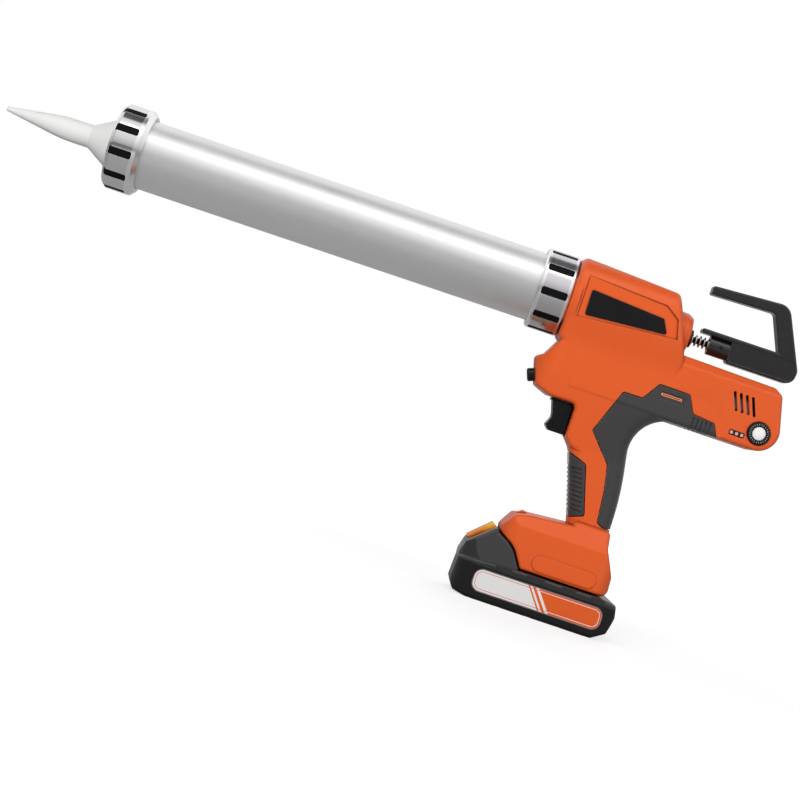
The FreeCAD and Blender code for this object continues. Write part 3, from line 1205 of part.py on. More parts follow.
def speed_dial():
    """Fluted ring knob on a stem."""
    x, z = dial_place()
    face = -ARM_HALF_WIDTH - DIAL_PROUD
    back = -ARM_HALF_WIDTH + WALL
    knob = rod_y(face, back, DIAL_RADIUS, x, z)
    knob = knob.makeChamfer(DIAL_FLUTE_RADIUS, [knob.Edges[0], knob.Edges[2]])
    flutes = []
    for i in range(DIAL_FLUTES):
        angle = 2 * math.pi * i / DIAL_FLUTES
        flutes.append(rod_y(face - OVERRUN, -ARM_HALF_WIDTH, DIAL_FLUTE_RADIUS,
                            x + DIAL_RADIUS * math.cos(angle), z + DIAL_RADIUS * math.sin(angle)))
    socket = rod_y(face - OVERRUN, face + DIAL_PROUD, DIAL_CAP_RADIUS, x, z)
    stem = rod_y(back, BOARD_Y - POT_DEPTH / 3, DIAL_STEM_RADIUS, x, z)
    return joined([knob.cut(flutes + [socket]), stem])


def dial_cap():
    """Pale cap in the middle of the dial, with a pointer groove."""
    x, z = dial_place()
    face = -ARM_HALF_WIDTH - DIAL_PROUD
    cap = rod_y(face - DIAL_CAP_PROUD, face + DIAL_PROUD, DIAL_CAP_RADIUS, x, z)
    half = DIAL_FLUTE_RADIUS / 2
    groove = box(x - half, x + half, face - DIAL_CAP_PROUD - OVERRUN, face, z + DIAL_CAP_RADIUS / 3,
                 z + DIAL_CAP_RADIUS + OVERRUN)
    return cap.cut(groove)


def dial_potentiometer():
    x, z = dial_place()
    case = rod_y(BOARD_Y - POT_DEPTH, BOARD_Y, POT_RADIUS, x, z)
    return case.cut(rod_y(BOARD_Y - POT_DEPTH - OVERRUN, BOARD_Y - POT_DEPTH / 3 + SLIDE_GAP,
                          DIAL_STEM_RADIUS + RUN_GAP, x, z))


def led_window():
    return slab(led_window_corners(0), -ARM_HALF_WIDTH, -ARM_HALF_WIDTH + PLATE_THICKNESS)


def led_places():
    x0, x1 = (core_x(share) for share in LED_WINDOW_SHARES[:2])
    z = core_z((LED_WINDOW_SHARES[2] + LED_WINDOW_SHARES[3]) / 2)
    return [(x0 + (i + 0.5) * (x1 - x0) / LED_COUNT, z) for i in range(LED_COUNT)]


def indicator_leds():
    front = -ARM_HALF_WIDTH + PLATE_THICKNESS
    return Part.makeCompound([rod_y(front, BOARD_Y, LED_RADIUS, x, z) for x, z in led_places()])


def board_box(margin):
    """The control board's place, with this much room at its edges and its back."""
    x0, x1 = (core_x(share) for share in BOARD_SHARES[:2])
    z0, z1 = (core_z(share) for share in BOARD_SHARES[2:])
    back = BOARD_Y + BOARD_THICKNESS + margin
    return box(x0 - margin, x1 + margin, BOARD_Y, back, z0 - margin, z1 + margin)


def control_board():
    return board_box(0)


def housing_screws():
    screws = []
    for x, z in screw_places():
        shank = rod_y(SCREW_HEAD_Y - SCREW_LENGTH, SCREW_HEAD_Y, SCREW_RADIUS, x, z)
        head = rod_y(SCREW_HEAD_Y, SCREW_HEAD_Y + SCREW_HEAD_HEIGHT, SCREW_HEAD_RADIUS, x, z)
        half = SCREW_RADIUS / 4
        top = SCREW_HEAD_Y + SCREW_HEAD_HEIGHT
        bottom = SCREW_HEAD_Y + SCREW_HEAD_HEIGHT / 2
        cross = [box(x - SCREW_RADIUS, x + SCREW_RADIUS, bottom, top + OVERRUN, z - half, z + half),
                 box(x - half, x + half, bottom, top + OVERRUN, z - SCREW_RADIUS, z + SCREW_RADIUS)]
        screws.append(joined([shank, head]).cut(cross))
    return Part.makeCompound(screws)


def nameplate_left():
    floor_y = -HEAD_HALF_WIDTH + SCOOP_DEPTH
    return slab(on_core(NAMEPLATE_SHARES), floor_y - PLATE_THICKNESS, floor_y)


def palm_grips():
    skin = grip_skin(PALM_GRIP_SHARES, GRIP_DEPTH, GRIP_GROOVE)
    skin = ribbed(skin, palm_ribs())
    x0, x1, z0, z1 = TRIM_POCKET_SHARES
    pocket = box(core_x(x0), core_x(x1), -FOOT_HALF_WIDTH, FOOT_HALF_WIDTH, core_z(z0), core_z(z1))
    shallow = OUTER.cut(body_form(TRIM_SINK))
    return both_sides(skin.cut([shallow.common(pocket), trim_field()]))


def trim_field():
    x0, x1, middle = TRIM_SHARES
    half = TRIM_HEIGHT / 2
    z = core_z(middle)
    x0, x1 = core_x(x0), core_x(x1)
    corners = [(x0, z - half, half / 2), (x1, z - half, half / 2), (x1, z + half, half / 2),
               (x0, z + half, half / 2)]
    return slab(corners, -FOOT_HALF_WIDTH, FOOT_HALF_WIDTH)


def grip_trims():
    skin = OUTER.cut(body_form(GRIP_DEPTH))
    return both_sides(skin.common(trim_field()))


def finger_grips():
    skin = grip_skin(FINGER_GRIP_SHARES, GRIP_DEPTH, GRIP_GROOVE)
    return both_sides(ribbed(skin, finger_ribs()))


def on_battery(shares):
    """Battery outline in millimetres from shares of the battery's length and height."""
    return [(a * BATTERY_LENGTH, b * BATTERY_HEIGHT, r * BATTERY_HEIGHT) for a, b, r in shares]


def battery_plan(half_width):
    """Column with the battery's rounded plan at this half width."""
    half_length = BATTERY_LENGTH / 2
    plan = [(-half_length, -half_width, BATTERY_FRONT_PLAN_ROUND),
            (-half_length, half_width, BATTERY_FRONT_PLAN_ROUND),
            (half_length, half_width, BATTERY_REAR_PLAN_ROUND),
            (half_length, -half_width, BATTERY_REAR_PLAN_ROUND)]
    return column(inset(plan, BATTERY_ROUND), 0, CORE_HEIGHT)


def tray_core():
    """Long tray that holds the cells."""
    side = slab(inset(on_battery(TRAY_SHARES), BATTERY_ROUND), -BATTERY_LENGTH, BATTERY_LENGTH)
    return side.common(battery_plan(BATTERY_HALF_WIDTH))


def block_core():
    """Front block above the tray: its back follows the foot's lower edge and its sides lean in."""
    edge = [(x - SEAM_GAP, z - SEAM_GAP, r) for x, z, r in on_core(FOOT_SHARES[3:7])]
    edge[-1] = (edge[-1][0], BATTERY_HEIGHT, 0)
    front = on_battery(BLOCK_FRONT_SHARES)
    under = (edge[-1][0], front[-1][1], 0)
    low, high = (share * BATTERY_HEIGHT for share in BLOCK_TAPER_SHARES)
    right = [(BLOCK_HALF_WIDTH, 0, 0), (BLOCK_HALF_WIDTH, low, 0), (BLOCK_TOP_HALF_WIDTH, high, 0)]
    left = [(-y, z, radius) for y, z, radius in reversed(right)]
    side = slab(inset(front + [under] + list(reversed(edge)), BATTERY_ROUND), -BATTERY_LENGTH, BATTERY_LENGTH)
    side = side.common(bar(inset(right + left, BATTERY_ROUND), -BATTERY_LENGTH, BATTERY_LENGTH))
    return side.common(battery_plan(BLOCK_HALF_WIDTH))


BATTERY_CORES = [tray_core(), block_core()]


def battery_form(depth):
    """The battery's whole form, with its surface moved inwards by depth."""
    return joined([grown(core, BATTERY_ROUND - depth) for core in BATTERY_CORES])


def tray_notches():
    """Shallow notches with slanted ends along the upper edge of the tray's right side."""
    low, high = (share * BATTERY_HEIGHT for share in NOTCH_HEIGHT_SHARES)
    lean = NOTCH_LEAN_SHARE * BATTERY_LENGTH
    cutters = []
    for share0, share1 in NOTCH_SHARES:
        x0, x1 = share0 * BATTERY_LENGTH, share1 * BATTERY_LENGTH
        corners = [(x0, high, 0), (x0 + lean, low, 0), (x1 - lean, low, 0), (x1, high, 0)]
        cutters.append(slab(corners, BATTERY_HALF_WIDTH - NOTCH_DEPTH, BATTERY_HALF_WIDTH + OVERRUN))
    return cutters


def tray_nicks():
    """Nicks along the lower edge of the tray's right side."""
    places = [(i - (NICK_COUNT - 1) / 2) * NICK_PITCH for i in range(NICK_COUNT)]
    return [box(x - NICK_WIDTH / 2, x + NICK_WIDTH / 2, BATTERY_HALF_WIDTH - NICK_DEPTH,
                BATTERY_HALF_WIDTH + OVERRUN, -OVERRUN, NICK_HEIGHT) for x in places]


def battery_shell():
    """The battery's hollow outer case before it is parted at its seam."""
    cutters = tray_notches() + tray_nicks()
    cutters += [mirrored(cutter) for cutter in cutters]
    return battery_form(0).cut([battery_form(BATTERY_WALL)] + cutters)


def seam_half(above):
    reach = BATTERY_LENGTH
    if above:
        return box(-reach, reach, -reach, reach, BATTERY_SEAM_HEIGHT, reach)
    return box(-reach, reach, -reach, reach, -reach, BATTERY_SEAM_HEIGHT)


def label_corners(margin):
    x0, x1, z0, z1 = LABEL_SHARES
    radius = LABEL_ROUND_SHARE * BATTERY_LENGTH
    x0, x1 = x0 * BATTERY_LENGTH, x1 * BATTERY_LENGTH
    z0, z1 = z0 * BATTERY_HEIGHT, z1 * BATTERY_HEIGHT
    square = [(x0, z0, radius), (x1, z0, radius), (x1, z1, radius), (x0, z1, radius)]
    return inset(square, margin)


def battery_case():
    pocket = slab(label_corners(0), BATTERY_HALF_WIDTH - LABEL_SINK, BATTERY_HALF_WIDTH + OVERRUN)
    return battery_shell().common(seam_half(False)).cut([pocket, mirrored(pocket)])


def battery_label_right():
    floor_y = BATTERY_HALF_WIDTH - LABEL_SINK
    return slab(label_corners(RUN_GAP), floor_y, floor_y + LABEL_THICKNESS)


def release_corners(lift, margin):
    """Outline of the release button's plate on the sloping front, from lift above the slope inwards."""
    (a0, b0), (a1, b1) = RELEASE_SHARES
    upper = Vector(a0 * BATTERY_LENGTH, b0 * BATTERY_HEIGHT, 0)
    lower = Vector(a1 * BATTERY_LENGTH, b1 * BATTERY_HEIGHT, 0)
    along = (lower - upper).normalize()
    outwards = Vector(along.y, -along.x, 0)
    outer, inner = lift, lift - RELEASE_THICKNESS - margin
    spots = [upper - along * margin + outwards * outer, lower + along * margin + outwards * outer,
             lower + along * margin + outwards * inner, upper - along * margin + outwards * inner]
    return [(spot.x, spot.y, 0) for spot in spots]


def battery_release():
    half = RELEASE_HALF_WIDTH - RELEASE_ROUND
    core = slab(inset(release_corners(RELEASE_PROUD, 0), RELEASE_ROUND), -half, half)
    return grown(core, RELEASE_ROUND)


def release_pocket():
    wide = RELEASE_HALF_WIDTH + SLIDE_GAP
    field = release_corners(RELEASE_PROUD, SLIDE_GAP)
    shift = RELEASE_TRAVEL + SLIDE_GAP
    deeper = release_corners(RELEASE_PROUD - shift, SLIDE_GAP)
    return [slab(field, -wide, wide), slab(deeper, -wide, wide)]


def release_well():
    """Box under the release button that its pocket is cut into."""
    wide = RELEASE_HALF_WIDTH + SLIDE_GAP + BATTERY_WALL
    deep = release_corners(-BATTERY_WALL / 2 - RELEASE_TRAVEL - SLIDE_GAP, 3 * BATTERY_WALL / 2)
    return slab(deep, -wide, wide)


def blade_places():
    return [(i - (BLADE_COUNT - 1) / 2) * BLADE_PITCH for i in range(BLADE_COUNT)]


def battery_cover():
    """Top of the battery: cover, rail with its slots, front shoulder and release pocket."""
    cover = battery_shell().common(seam_half(True))
    front = on_core(FOOT_SHARES)[5][0]
    base = BATTERY_HEIGHT - BATTERY_WALL / 2
    neck = box(front, RAIL_REAR_X, -RAIL_NECK_HALF_WIDTH, RAIL_NECK_HALF_WIDTH, base, RAIL_TOP)
    head = box(front, RAIL_REAR_X, -RAIL_HEAD_HALF_WIDTH, RAIL_HEAD_HALF_WIDTH, RAIL_HEAD_BOTTOM, RAIL_TOP)
    well = release_well().common(battery_form(BATTERY_WALL / 2))
    whole = joined([cover, neck, head, well])
    cutters = release_pocket()
    half = BLADE_SLOT_WIDTH / 2
    low, high = blade_heights()
    for y in blade_places():
        cutters.append(box(RAIL_REAR_X - BLADE_LENGTH - SEAM_GAP, RAIL_REAR_X + OVERRUN, y - half, y + half,
                           low - SLIDE_GAP, high + SLIDE_GAP))
    return whole.cut(cutters)


def blade_heights():
    middle = (RAIL_HEAD_BOTTOM + RAIL_TOP) / 2
    return middle - BLADE_HEIGHT / 2, middle + BLADE_HEIGHT / 2


def battery_cells():
    height = BATTERY_WALL + CELL_RADIUS
    half = CELL_LENGTH / 2
    places = [(i - (CELL_COUNT - 1) / 2) * CELL_PITCH for i in range(CELL_COUNT)]
    return Part.makeCompound([rod_y(-half, half, CELL_RADIUS, x, height) for x in places])


def battery_contacts():
    """Spring plates in the rail's slots, beside the blades."""
    low, high = blade_heights()
    half = BLADE_SLOT_WIDTH / 2
    plates = []
    for y in blade_places():
        plates.append(box(RAIL_REAR_X - BLADE_LENGTH, RAIL_REAR_X - BLADE_LENGTH / 4, y - half,
                          y - half + BLADE_THICKNESS / 2, low, high))
    return Part.makeCompound(plates)


def terminal_block():
    """Block in the foot that carries the contact blades."""
    front = RAIL_REAR_X + SEAM_GAP
    return box(front, front + TERMINAL_LENGTH, -TERMINAL_HALF_WIDTH, TERMINAL_HALF_WIDTH, RAIL_HEAD_BOTTOM,
               TERMINAL_TOP)


def terminal_blades():
    low, high = blade_heights()
    front = RAIL_REAR_X + SEAM_GAP
    half = BLADE_THICKNESS / 2
    return Part.makeCompound([box(front - BLADE_LENGTH, front, y - half, y + half, low, high)
                              for y in blade_places()])


def all_nodes():
    """Every piece by name."""
    housing_left, housing_right = housing()
    palm_left, palm_right = palm_grips()
    finger_left, finger_right = finger_grips()
    trim_left, trim_right = grip_trims()
    nodes = {
        "nozzle": nozzle(), "front_collar": front_collar(), "front_collar_grips": front_collar_grips(),
        "barrel_tube": barrel_tube(), "rear_collar": rear_collar(), "rear_collar_grips": rear_collar_grips(),
        "barrel_seat": barrel_seat(), "rod_bush_front": rod_bush_front(), "rod_bush_rear": rod_bush_rear(),
        "rack_rod": rack_rod(), "piston": piston(), "piston_screw": piston_screw(), "pull_hook": pull_hook(),
        "hook_pin": hook_pin(), "housing_left": housing_left, "housing_right": housing_right,
        "palm_grip_left": palm_left, "palm_grip_right": palm_right, "finger_grip_left": finger_left,
        "finger_grip_right": finger_right, "grip_trim_left": trim_left, "grip_trim_right": trim_right,
        "housing_screws": housing_screws(), "nameplate_left": nameplate_left(),
        "nameplate_right": mirrored(nameplate_left()), "trigger": trigger(),
        "trigger_switch": trigger_switch(), "front_button": front_button(),
        "speed_dial": speed_dial(), "dial_cap": dial_cap(),
        "dial_potentiometer": dial_potentiometer(), "led_window": led_window(),
        "indicator_leds": indicator_leds(), "control_board": control_board(), "motor": motor(),
        "gearbox": gearbox(), "bevel_pinion": bevel_pinion(), "bevel_wheel": bevel_wheel(),
        "cross_shaft": cross_shaft(), "transfer_pinion": transfer_pinion(), "pinion_shaft": pinion_shaft(),
        "transfer_gear": transfer_gear(), "rack_pinion": rack_pinion(), "shaft_bearings": shaft_bearings(),
        "battery_case": battery_case(), "battery_cover": battery_cover(),
        "battery_label_left": mirrored(battery_label_right()), "battery_label_right": battery_label_right(),
        "battery_release": battery_release(), "battery_cells": battery_cells(),
        "battery_contacts": battery_contacts(), "terminal_block": terminal_block(),
        "terminal_blades": terminal_blades()}
    return nodes


os.makedirs("parts", exist_ok=True)
for name, shape in all_nodes().items():
    shape.exportStep("parts/" + name + ".step")
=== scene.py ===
import math

import bpy
import numpy as np
from bpy.props import FloatProperty, FloatVectorProperty, PointerProperty
from bpy.types import NodeSocket, Operator, Panel, PropertyGroup
from mathutils import Matrix, Vector


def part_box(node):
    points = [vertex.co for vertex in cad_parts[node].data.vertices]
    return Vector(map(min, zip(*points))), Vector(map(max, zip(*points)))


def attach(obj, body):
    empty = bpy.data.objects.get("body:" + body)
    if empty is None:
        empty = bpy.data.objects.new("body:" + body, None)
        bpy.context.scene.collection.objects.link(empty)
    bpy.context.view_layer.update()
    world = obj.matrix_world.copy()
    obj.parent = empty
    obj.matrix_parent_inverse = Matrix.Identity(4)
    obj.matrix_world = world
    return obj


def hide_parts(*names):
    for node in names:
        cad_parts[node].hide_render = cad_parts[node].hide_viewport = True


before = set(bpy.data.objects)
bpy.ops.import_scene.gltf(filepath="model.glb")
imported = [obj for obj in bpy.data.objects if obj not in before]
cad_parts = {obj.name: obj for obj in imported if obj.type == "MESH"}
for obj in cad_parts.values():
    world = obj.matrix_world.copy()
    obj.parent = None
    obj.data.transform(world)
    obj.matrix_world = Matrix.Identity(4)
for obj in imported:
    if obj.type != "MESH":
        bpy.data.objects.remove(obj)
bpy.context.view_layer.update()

bl_info = {
    "name": "Cordless caulking tool",
    "version": (1, 0, 0),
    "blender": (4, 5, 0),
    "location": "View3D > Sidebar > Caulking tool",
    "description": "Dresses the packed model of a cordless caulking tool and sets up its studio",
    "category": "Add Mesh",
}

WHITE = (1.0, 1.0, 1.0, 1.0)
# Lengths in metres that the settings and the node groups share
EDGE_RADIUS = 0.0004
RECESS_REACH = 0.002


# Sizes and colours that a user would change


def colour(label, note, value):
    """A colour property with a name, a description and a default."""
    return FloatVectorProperty(name=label, description=note, default=value, subtype="COLOR",
                               size=3, min=0.0, max=1.0)


def length(label, note, value):
    """A length property in metres with a name, a description and a default."""
    return FloatProperty(name=label, description=note, default=value, unit="LENGTH", precision=5)


class CaulkColours(PropertyGroup):
    """Colours of the tool's finishes, as they look in plain light."""
    orange: colour("Housing orange", "Moulded housing shells", (0.73, 0.102, 0.016))
    # Painted highlight, partly wear: orange_edge is mixed in along sharp edges where a rounded edge
    # would catch light; the palm grip's bar is painted in it too.
    orange_edge: colour("Orange edges", "Painted highlight and wear on housing edges, and the bar in the palm grip",
                        (0.86, 0.26, 0.12))
    # Painted shade: recess is mixed into grooves and seams where little room is open, as if shade
    # fell there.
    recess: colour("Recess dark", "Painted shade in grooves and seams of the moulded pieces",
                   (0.004, 0.003, 0.003))
    # Painted shade: trim_slot_shade is a dark line painted along the palm grip's bar where a slot's
    # shade would be.
    trim_slot_shade: colour("Trim slot shade", "Painted slot shade along the bar in the palm grip",
                      (0.045, 0.016, 0.010))
    rubber: colour("Grip rubber", "Palm and finger grips", (0.038, 0.036, 0.036))
    # Painted highlight, partly wear: rubber_edge is mixed in along the grips' sharp edges.
    rubber_edge: colour("Rubber edges", "Painted highlight and wear on the grips' edges", (0.12, 0.117, 0.115))
    black: colour("Black plastic", "Battery tray, piston, rear bush and pin",
                  (0.0045, 0.0045, 0.005))
    hook: colour("Hook black", "Grained plastic of the pull hook", (0.0085, 0.0085, 0.009))
    # Painted highlight, partly wear: black_edge is mixed in along sharp edges of the black pieces.
    black_edge: colour("Black edges", "Painted highlight and wear on edges of black plastic", (0.11, 0.11, 0.112))
    cover: colour("Battery cover", "Upper block of the battery", (0.014, 0.014, 0.015))
    gloss_black: colour("Gloss black", "Trigger, button, dial and collar inserts",
                        (0.004, 0.004, 0.0045))
    nameplate: colour("Plate black", "Plates on the sides of the head", (0.005, 0.005, 0.006))
    silver: colour("Collar silver", "Polished rims of the screw collars", (0.92, 0.91, 0.92))
    # Painted shade: the panels are darker copies of the collar's silver, standing for the shade on
    # them.
    front_panel_shade: colour("Front panels", "Panels between the front collar's inserts",
                        (0.74, 0.725, 0.74))
    panel: colour("Rear panels", "Satin panels between the rear collar's inserts",
                  (0.66, 0.645, 0.67))
    aluminium: colour("Barrel aluminium", "Satin barrel sleeve", (0.87, 0.87, 0.875))
    seat: colour("Seat aluminium", "Cast seat of the barrel", (0.60, 0.60, 0.61))
    nozzle: colour("Nozzle white", "Translucent nozzle plastic", (0.81, 0.81, 0.80))
    tick: colour("Dial ticks", "Printed ticks on the speed dial", (0.40, 0.40, 0.41))
    cap: colour("Dial cap white", "Centre of the speed dial", (0.92, 0.91, 0.90))
    lens: colour("Indicator lens", "Unlit lenses of the battery indicator", (0.62, 0.42, 0.38))
    window: colour("Indicator window", "Dark window round the lenses", (0.040, 0.006, 0.005))
    steel: colour("Steel", "Gears, shafts and screws", (0.42, 0.41, 0.40))
    rod: colour("Rod steel", "Crests of the rod's teeth", (0.66, 0.65, 0.64))
    # The colour the rod turns to in its grooves, darker towards the axis.
    groove_dark: colour("Rod groove dark", "Grooves between the rod's teeth", (0.025, 0.022, 0.020))
    bronze: colour("Bush bronze", "Front rod bush and shaft bearings", (0.42, 0.24, 0.10))
    motor: colour("Motor grey", "Cans of the motor and the gearbox", (0.38, 0.38, 0.39))
    brass: colour("Contact brass", "Battery contacts and terminal blades", (0.72, 0.50, 0.18))
    label_white: colour("Label white", "Pale field of the battery label", (0.74, 0.73, 0.72))
    label_orange: colour("Label orange", "End and stripes of the battery label",
                         (0.70, 0.10, 0.012))
    label_grey: colour("Label grey", "Border of the battery label", (0.20, 0.20, 0.205))
    release: colour("Release orange", "Battery release button", (0.80, 0.20, 0.014))
    # release_edge is the yellow of the button's upper half, and along its sharp edges a painted
    # highlight, partly wear.
    release_edge: colour("Release yellow", "Edges and upper end of the release button",
                         (0.95, 0.52, 0.04))
    board: colour("Board green", "Circuit board", (0.02, 0.12, 0.05))
    cell: colour("Cell blue", "Wrap of the battery cells", (0.02, 0.12, 0.25))


class CaulkSizes(PropertyGroup):
    """Sizes of the added pieces and of the finishes."""
    edge: length("Edge softness", "Radius at which sharp edges look rounded", EDGE_RADIUS)
    # Reach of the painted shade in grooves and seams
    recess: length("Recess reach", "Width up to which a groove looks dark", RECESS_REACH)
    lens: length("Lens size", "Half the edge of one indicator lens", 0.00115)
    lens_rise: length("Lens rise", "Height of a lens over its window", 0.0003)
    cap_rise: length("Cap rise", "Height of the dial cap's crown over its rim", 0.0013)
    seal_width: length("Seal width", "Width of the battery seal across the tool", 0.030)
    seal_thickness: length("Seal thickness", "Thickness of the battery seal in its gap", 0.00026)
    label_round: length("Label corner", "Corner radius of the battery label", 0.0066)
    label_border: length("Label border", "Width of the battery label's border", 0.0007)


class CaulkStudio(PropertyGroup):
    """Camera and studio values."""
    distance: length("Camera distance", "From the camera to the tool's middle plane", 1.55)
    frame_width: length("Frame width", "Width of the picture at the middle plane", 0.59685)
    centre_x: length("Picture centre X", "Point of the middle plane in the picture's centre",
                     -0.138)
    centre_z: length("Picture centre Z", "Point of the middle plane in the picture's centre",
                     0.1205)
    roll: FloatProperty(name="Camera roll", description="Nose-up turn of the tool in the picture",
                        default=math.radians(18.64), subtype="ANGLE")
    floor_size: length("Floor size", "Edge of the square floor", 24.0)
    ambient: FloatProperty(name="Ambient light", description="Even light on matt surfaces",
                           default=0.22, subtype="FACTOR", min=0.0, max=1.0)


def colours():
    """The colours that the scene holds."""
    return bpy.context.scene.caulk_colours


def sizes():
    """The sizes that the scene holds."""
    return bpy.context.scene.caulk_sizes


def rgba(value):
    """Four numbers from a three-number colour."""
    return (*value, 1.0)


# Node helpers

# Places of a colour Mix node's sockets
MIX_FACTOR, MIX_FIRST, MIX_SECOND, MIX_RESULT = 0, 6, 7, 2


def join(tree, node, inputs):
    """Sets a node's inputs: a socket is linked, anything else is the input's own value."""
    for key, value in inputs.items():
        if isinstance(value, NodeSocket):
            tree.links.new(value, node.inputs[key])
        else:
            node.inputs[key].default_value = value


def put(tree, kind, inputs=None, **settings):
    """Adds one node: settings are its own properties, inputs are socket values or links."""
    node = tree.nodes.new(kind)
    for key, value in settings.items():
        setattr(node, key, value)
    join(tree, node, inputs or {})
    return node


def maths(tree, operation, first, second=0.0):
    """Output of one Math node."""
    return put(tree, "ShaderNodeMath", {0: first, 1: second}, operation=operation).outputs[0]


def remap(tree, value, low, high, to_low=0.0, to_high=1.0):
    """Output of a Map Range node."""
    inputs = {"Value": value, "From Min": low, "From Max": high,
              "To Min": to_low, "To Max": to_high}
    return put(tree, "ShaderNodeMapRange", inputs).outputs["Result"]


def mixed(tree, factor, first, second):
    """Output of a colour Mix node."""
    inputs = {MIX_FACTOR: factor, MIX_FIRST: first, MIX_SECOND: second}
    return put(tree, "ShaderNodeMix", inputs, data_type="RGBA").outputs[MIX_RESULT]


def noise(tree, vector, scale, detail, roughness):
    """Noise value on the given coordinates."""
    inputs = {"Vector": vector, "Scale": scale, "Detail": detail, "Roughness": roughness}
    return put(tree, "ShaderNodeTexNoise", inputs).outputs["Fac"]


def object_coords(tree):
    """Object coordinates, which are the CAD frame's on every piece."""
    return put(tree, "ShaderNodeTexCoord").outputs["Object"]


def centred(tree, centre, scale=(1.0, 1.0, 1.0)):
    """Object coordinates from a centre; a scale of 0 drops an axis."""
    shift = tuple(-place * factor for place, factor in zip(centre, scale))
    inputs = {"Vector": object_coords(tree), "Location": shift, "Scale": scale}
    return put(tree, "ShaderNodeMapping", inputs).outputs["Vector"]


def axes(tree, vector):
    """X, Y and Z of a vector, by name."""
    return put(tree, "ShaderNodeSeparateXYZ", {0: vector}).outputs


def distance(tree, vector):
    """Length of a vector."""
    return put(tree, "ShaderNodeVectorMath", {0: vector}, operation="LENGTH").outputs["Value"]


# Node groups that the finishes share

FLOAT, VECTOR = "NodeSocketFloat", "NodeSocketVector"
# Noise as (detail, roughness)
GRAIN_NOISE = (3.0, 0.6)
FLOW_NOISE = (2.0, 0.5)
SMUDGE_NOISE = (4.0, 0.65)
WEAR_NOISE = (3.0, 0.6)
LINE_NOISE = (2.0, 0.7)
# Smudges for each flow mark, and the noise values where a smudge begins and is full
SMUDGES_PER_FLOW = 3.5
SMUDGE_RANGE = (0.35, 0.7)
# Cosine between the rounded and the plain normal where an edge begins and is full
EDGE_COSINES = (0.985, 0.80)
EDGE_SAMPLES = 4
# Noise values of the least and the most wear, and the strength of a worn edge there
WEAR_RANGE = (0.3, 0.6)
WEAR_SHARES = (0.35, 1.0)
# Open share of the room close by where the painted recess shade begins and is full
RECESS_ROOM = (0.88, 0.40)
RECESS_SAMPLES = 6
# Stretch of the noise for lines along the barrel axis and round it
LINE_STRETCH = {"Along": (0.004, 1.0, 1.0), "Round": (1.0, 0.01, 0.01)}


def moulded_grain(tree, given, made):
    """Spark-eroded mould texture: Height of the fine grain, Tone of slow flow marks, Smudge of
    handling."""
    where = object_coords(tree)
    flow = given["Flow per metre"]
    smudges = maths(tree, "MULTIPLY", flow, SMUDGES_PER_FLOW)
    smudge = noise(tree, where, smudges, *SMUDGE_NOISE)
    tree.links.new(noise(tree, where, given["Grains per metre"], *GRAIN_NOISE), made["Height"])
    tree.links.new(noise(tree, where, flow, *FLOW_NOISE), made["Tone"])
    tree.links.new(remap(tree, smudge, *SMUDGE_RANGE), made["Smudge"])


def soft_edges(tree, given, made):
    """Sharp edges as if rounded: Normal over the rounding, and Edge, 1 where it turns and broken by
    wear, which places the painted edge highlight."""
    rounded = put(tree, "ShaderNodeBevel", {"Radius": given["Radius"]},
                  samples=EDGE_SAMPLES).outputs["Normal"]
    plain = put(tree, "ShaderNodeNewGeometry").outputs["Normal"]
    alike = put(tree, "ShaderNodeVectorMath", {0: rounded, 1: plain},
                operation="DOT_PRODUCT").outputs["Value"]
    wear = noise(tree, object_coords(tree), given["Wear per metre"], *WEAR_NOISE)
    edge = maths(tree, "MULTIPLY", remap(tree, alike, *EDGE_COSINES),
                 remap(tree, wear, *WEAR_RANGE, *WEAR_SHARES))
    tree.links.new(rounded, made["Normal"])
    tree.links.new(edge, made["Edge"])


def recess_shade_mask(tree, given, made):
    """Recess is 1 in deep narrow places, where most of the room close by is hidden, and 0 on open
    faces; it places the painted shade in grooves and seams."""
    room = put(tree, "ShaderNodeAmbientOcclusion", {"Distance": given["Reach"]},
               samples=RECESS_SAMPLES).outputs["AO"]
    tree.links.new(remap(tree, room, *RECESS_ROOM), made["Recess"])


def drawn_lines(tree, given, made):
    """Fine lines on metal: Along runs with the barrel axis, Round runs about it, both 0 to 1."""
    where = object_coords(tree)
    for label, scale in LINE_STRETCH.items():
        inputs = {"Vector": where, "Scale": scale}
        stretched = put(tree, "ShaderNodeMapping", inputs).outputs["Vector"]
        lines = noise(tree, stretched, given["Lines per metre"], *LINE_NOISE)
        tree.links.new(lines, made[label])


# What fills each group, its inputs with their defaults, and its outputs
GROUPS = {
    "Moulded grain": (moulded_grain, {"Grains per metre": 1800.0, "Flow per metre": 14.0},
                      {"Height": FLOAT, "Tone": FLOAT, "Smudge": FLOAT}),
    "Soft edges": (soft_edges, {"Radius": EDGE_RADIUS, "Wear per metre": 160.0},
                   {"Normal": VECTOR, "Edge": FLOAT}),
    "Recess shade mask": (recess_shade_mask, {"Reach": RECESS_REACH}, {"Recess": FLOAT}),
    "Drawn lines": (drawn_lines, {"Lines per metre": 2500.0}, {"Along": FLOAT, "Round": FLOAT}),
}


def build_group(name):
    """Makes a shader node group with float inputs and typed outputs, and fills it."""
    fill, inputs, outputs = GROUPS[name]
    tree = bpy.data.node_groups.new(name, "ShaderNodeTree")
    for label, value in inputs.items():
        socket = tree.interface.new_socket(label, in_out="INPUT", socket_type=FLOAT)
        socket.default_value = value
    for label, kind in outputs.items():
        tree.interface.new_socket(label, in_out="OUTPUT", socket_type=kind)
    start, end = tree.nodes.new("NodeGroupInput"), tree.nodes.new("NodeGroupOutput")
    fill(tree, start.outputs, end.inputs)


def shared(tree, name, values):
    """Outputs of a group, built on its first use and placed in a tree with its own values."""
    if name not in bpy.data.node_groups:
        build_group(name)
    node_group = bpy.data.node_groups[name]
    return put(tree, "ShaderNodeGroup", values, node_tree=node_group).outputs


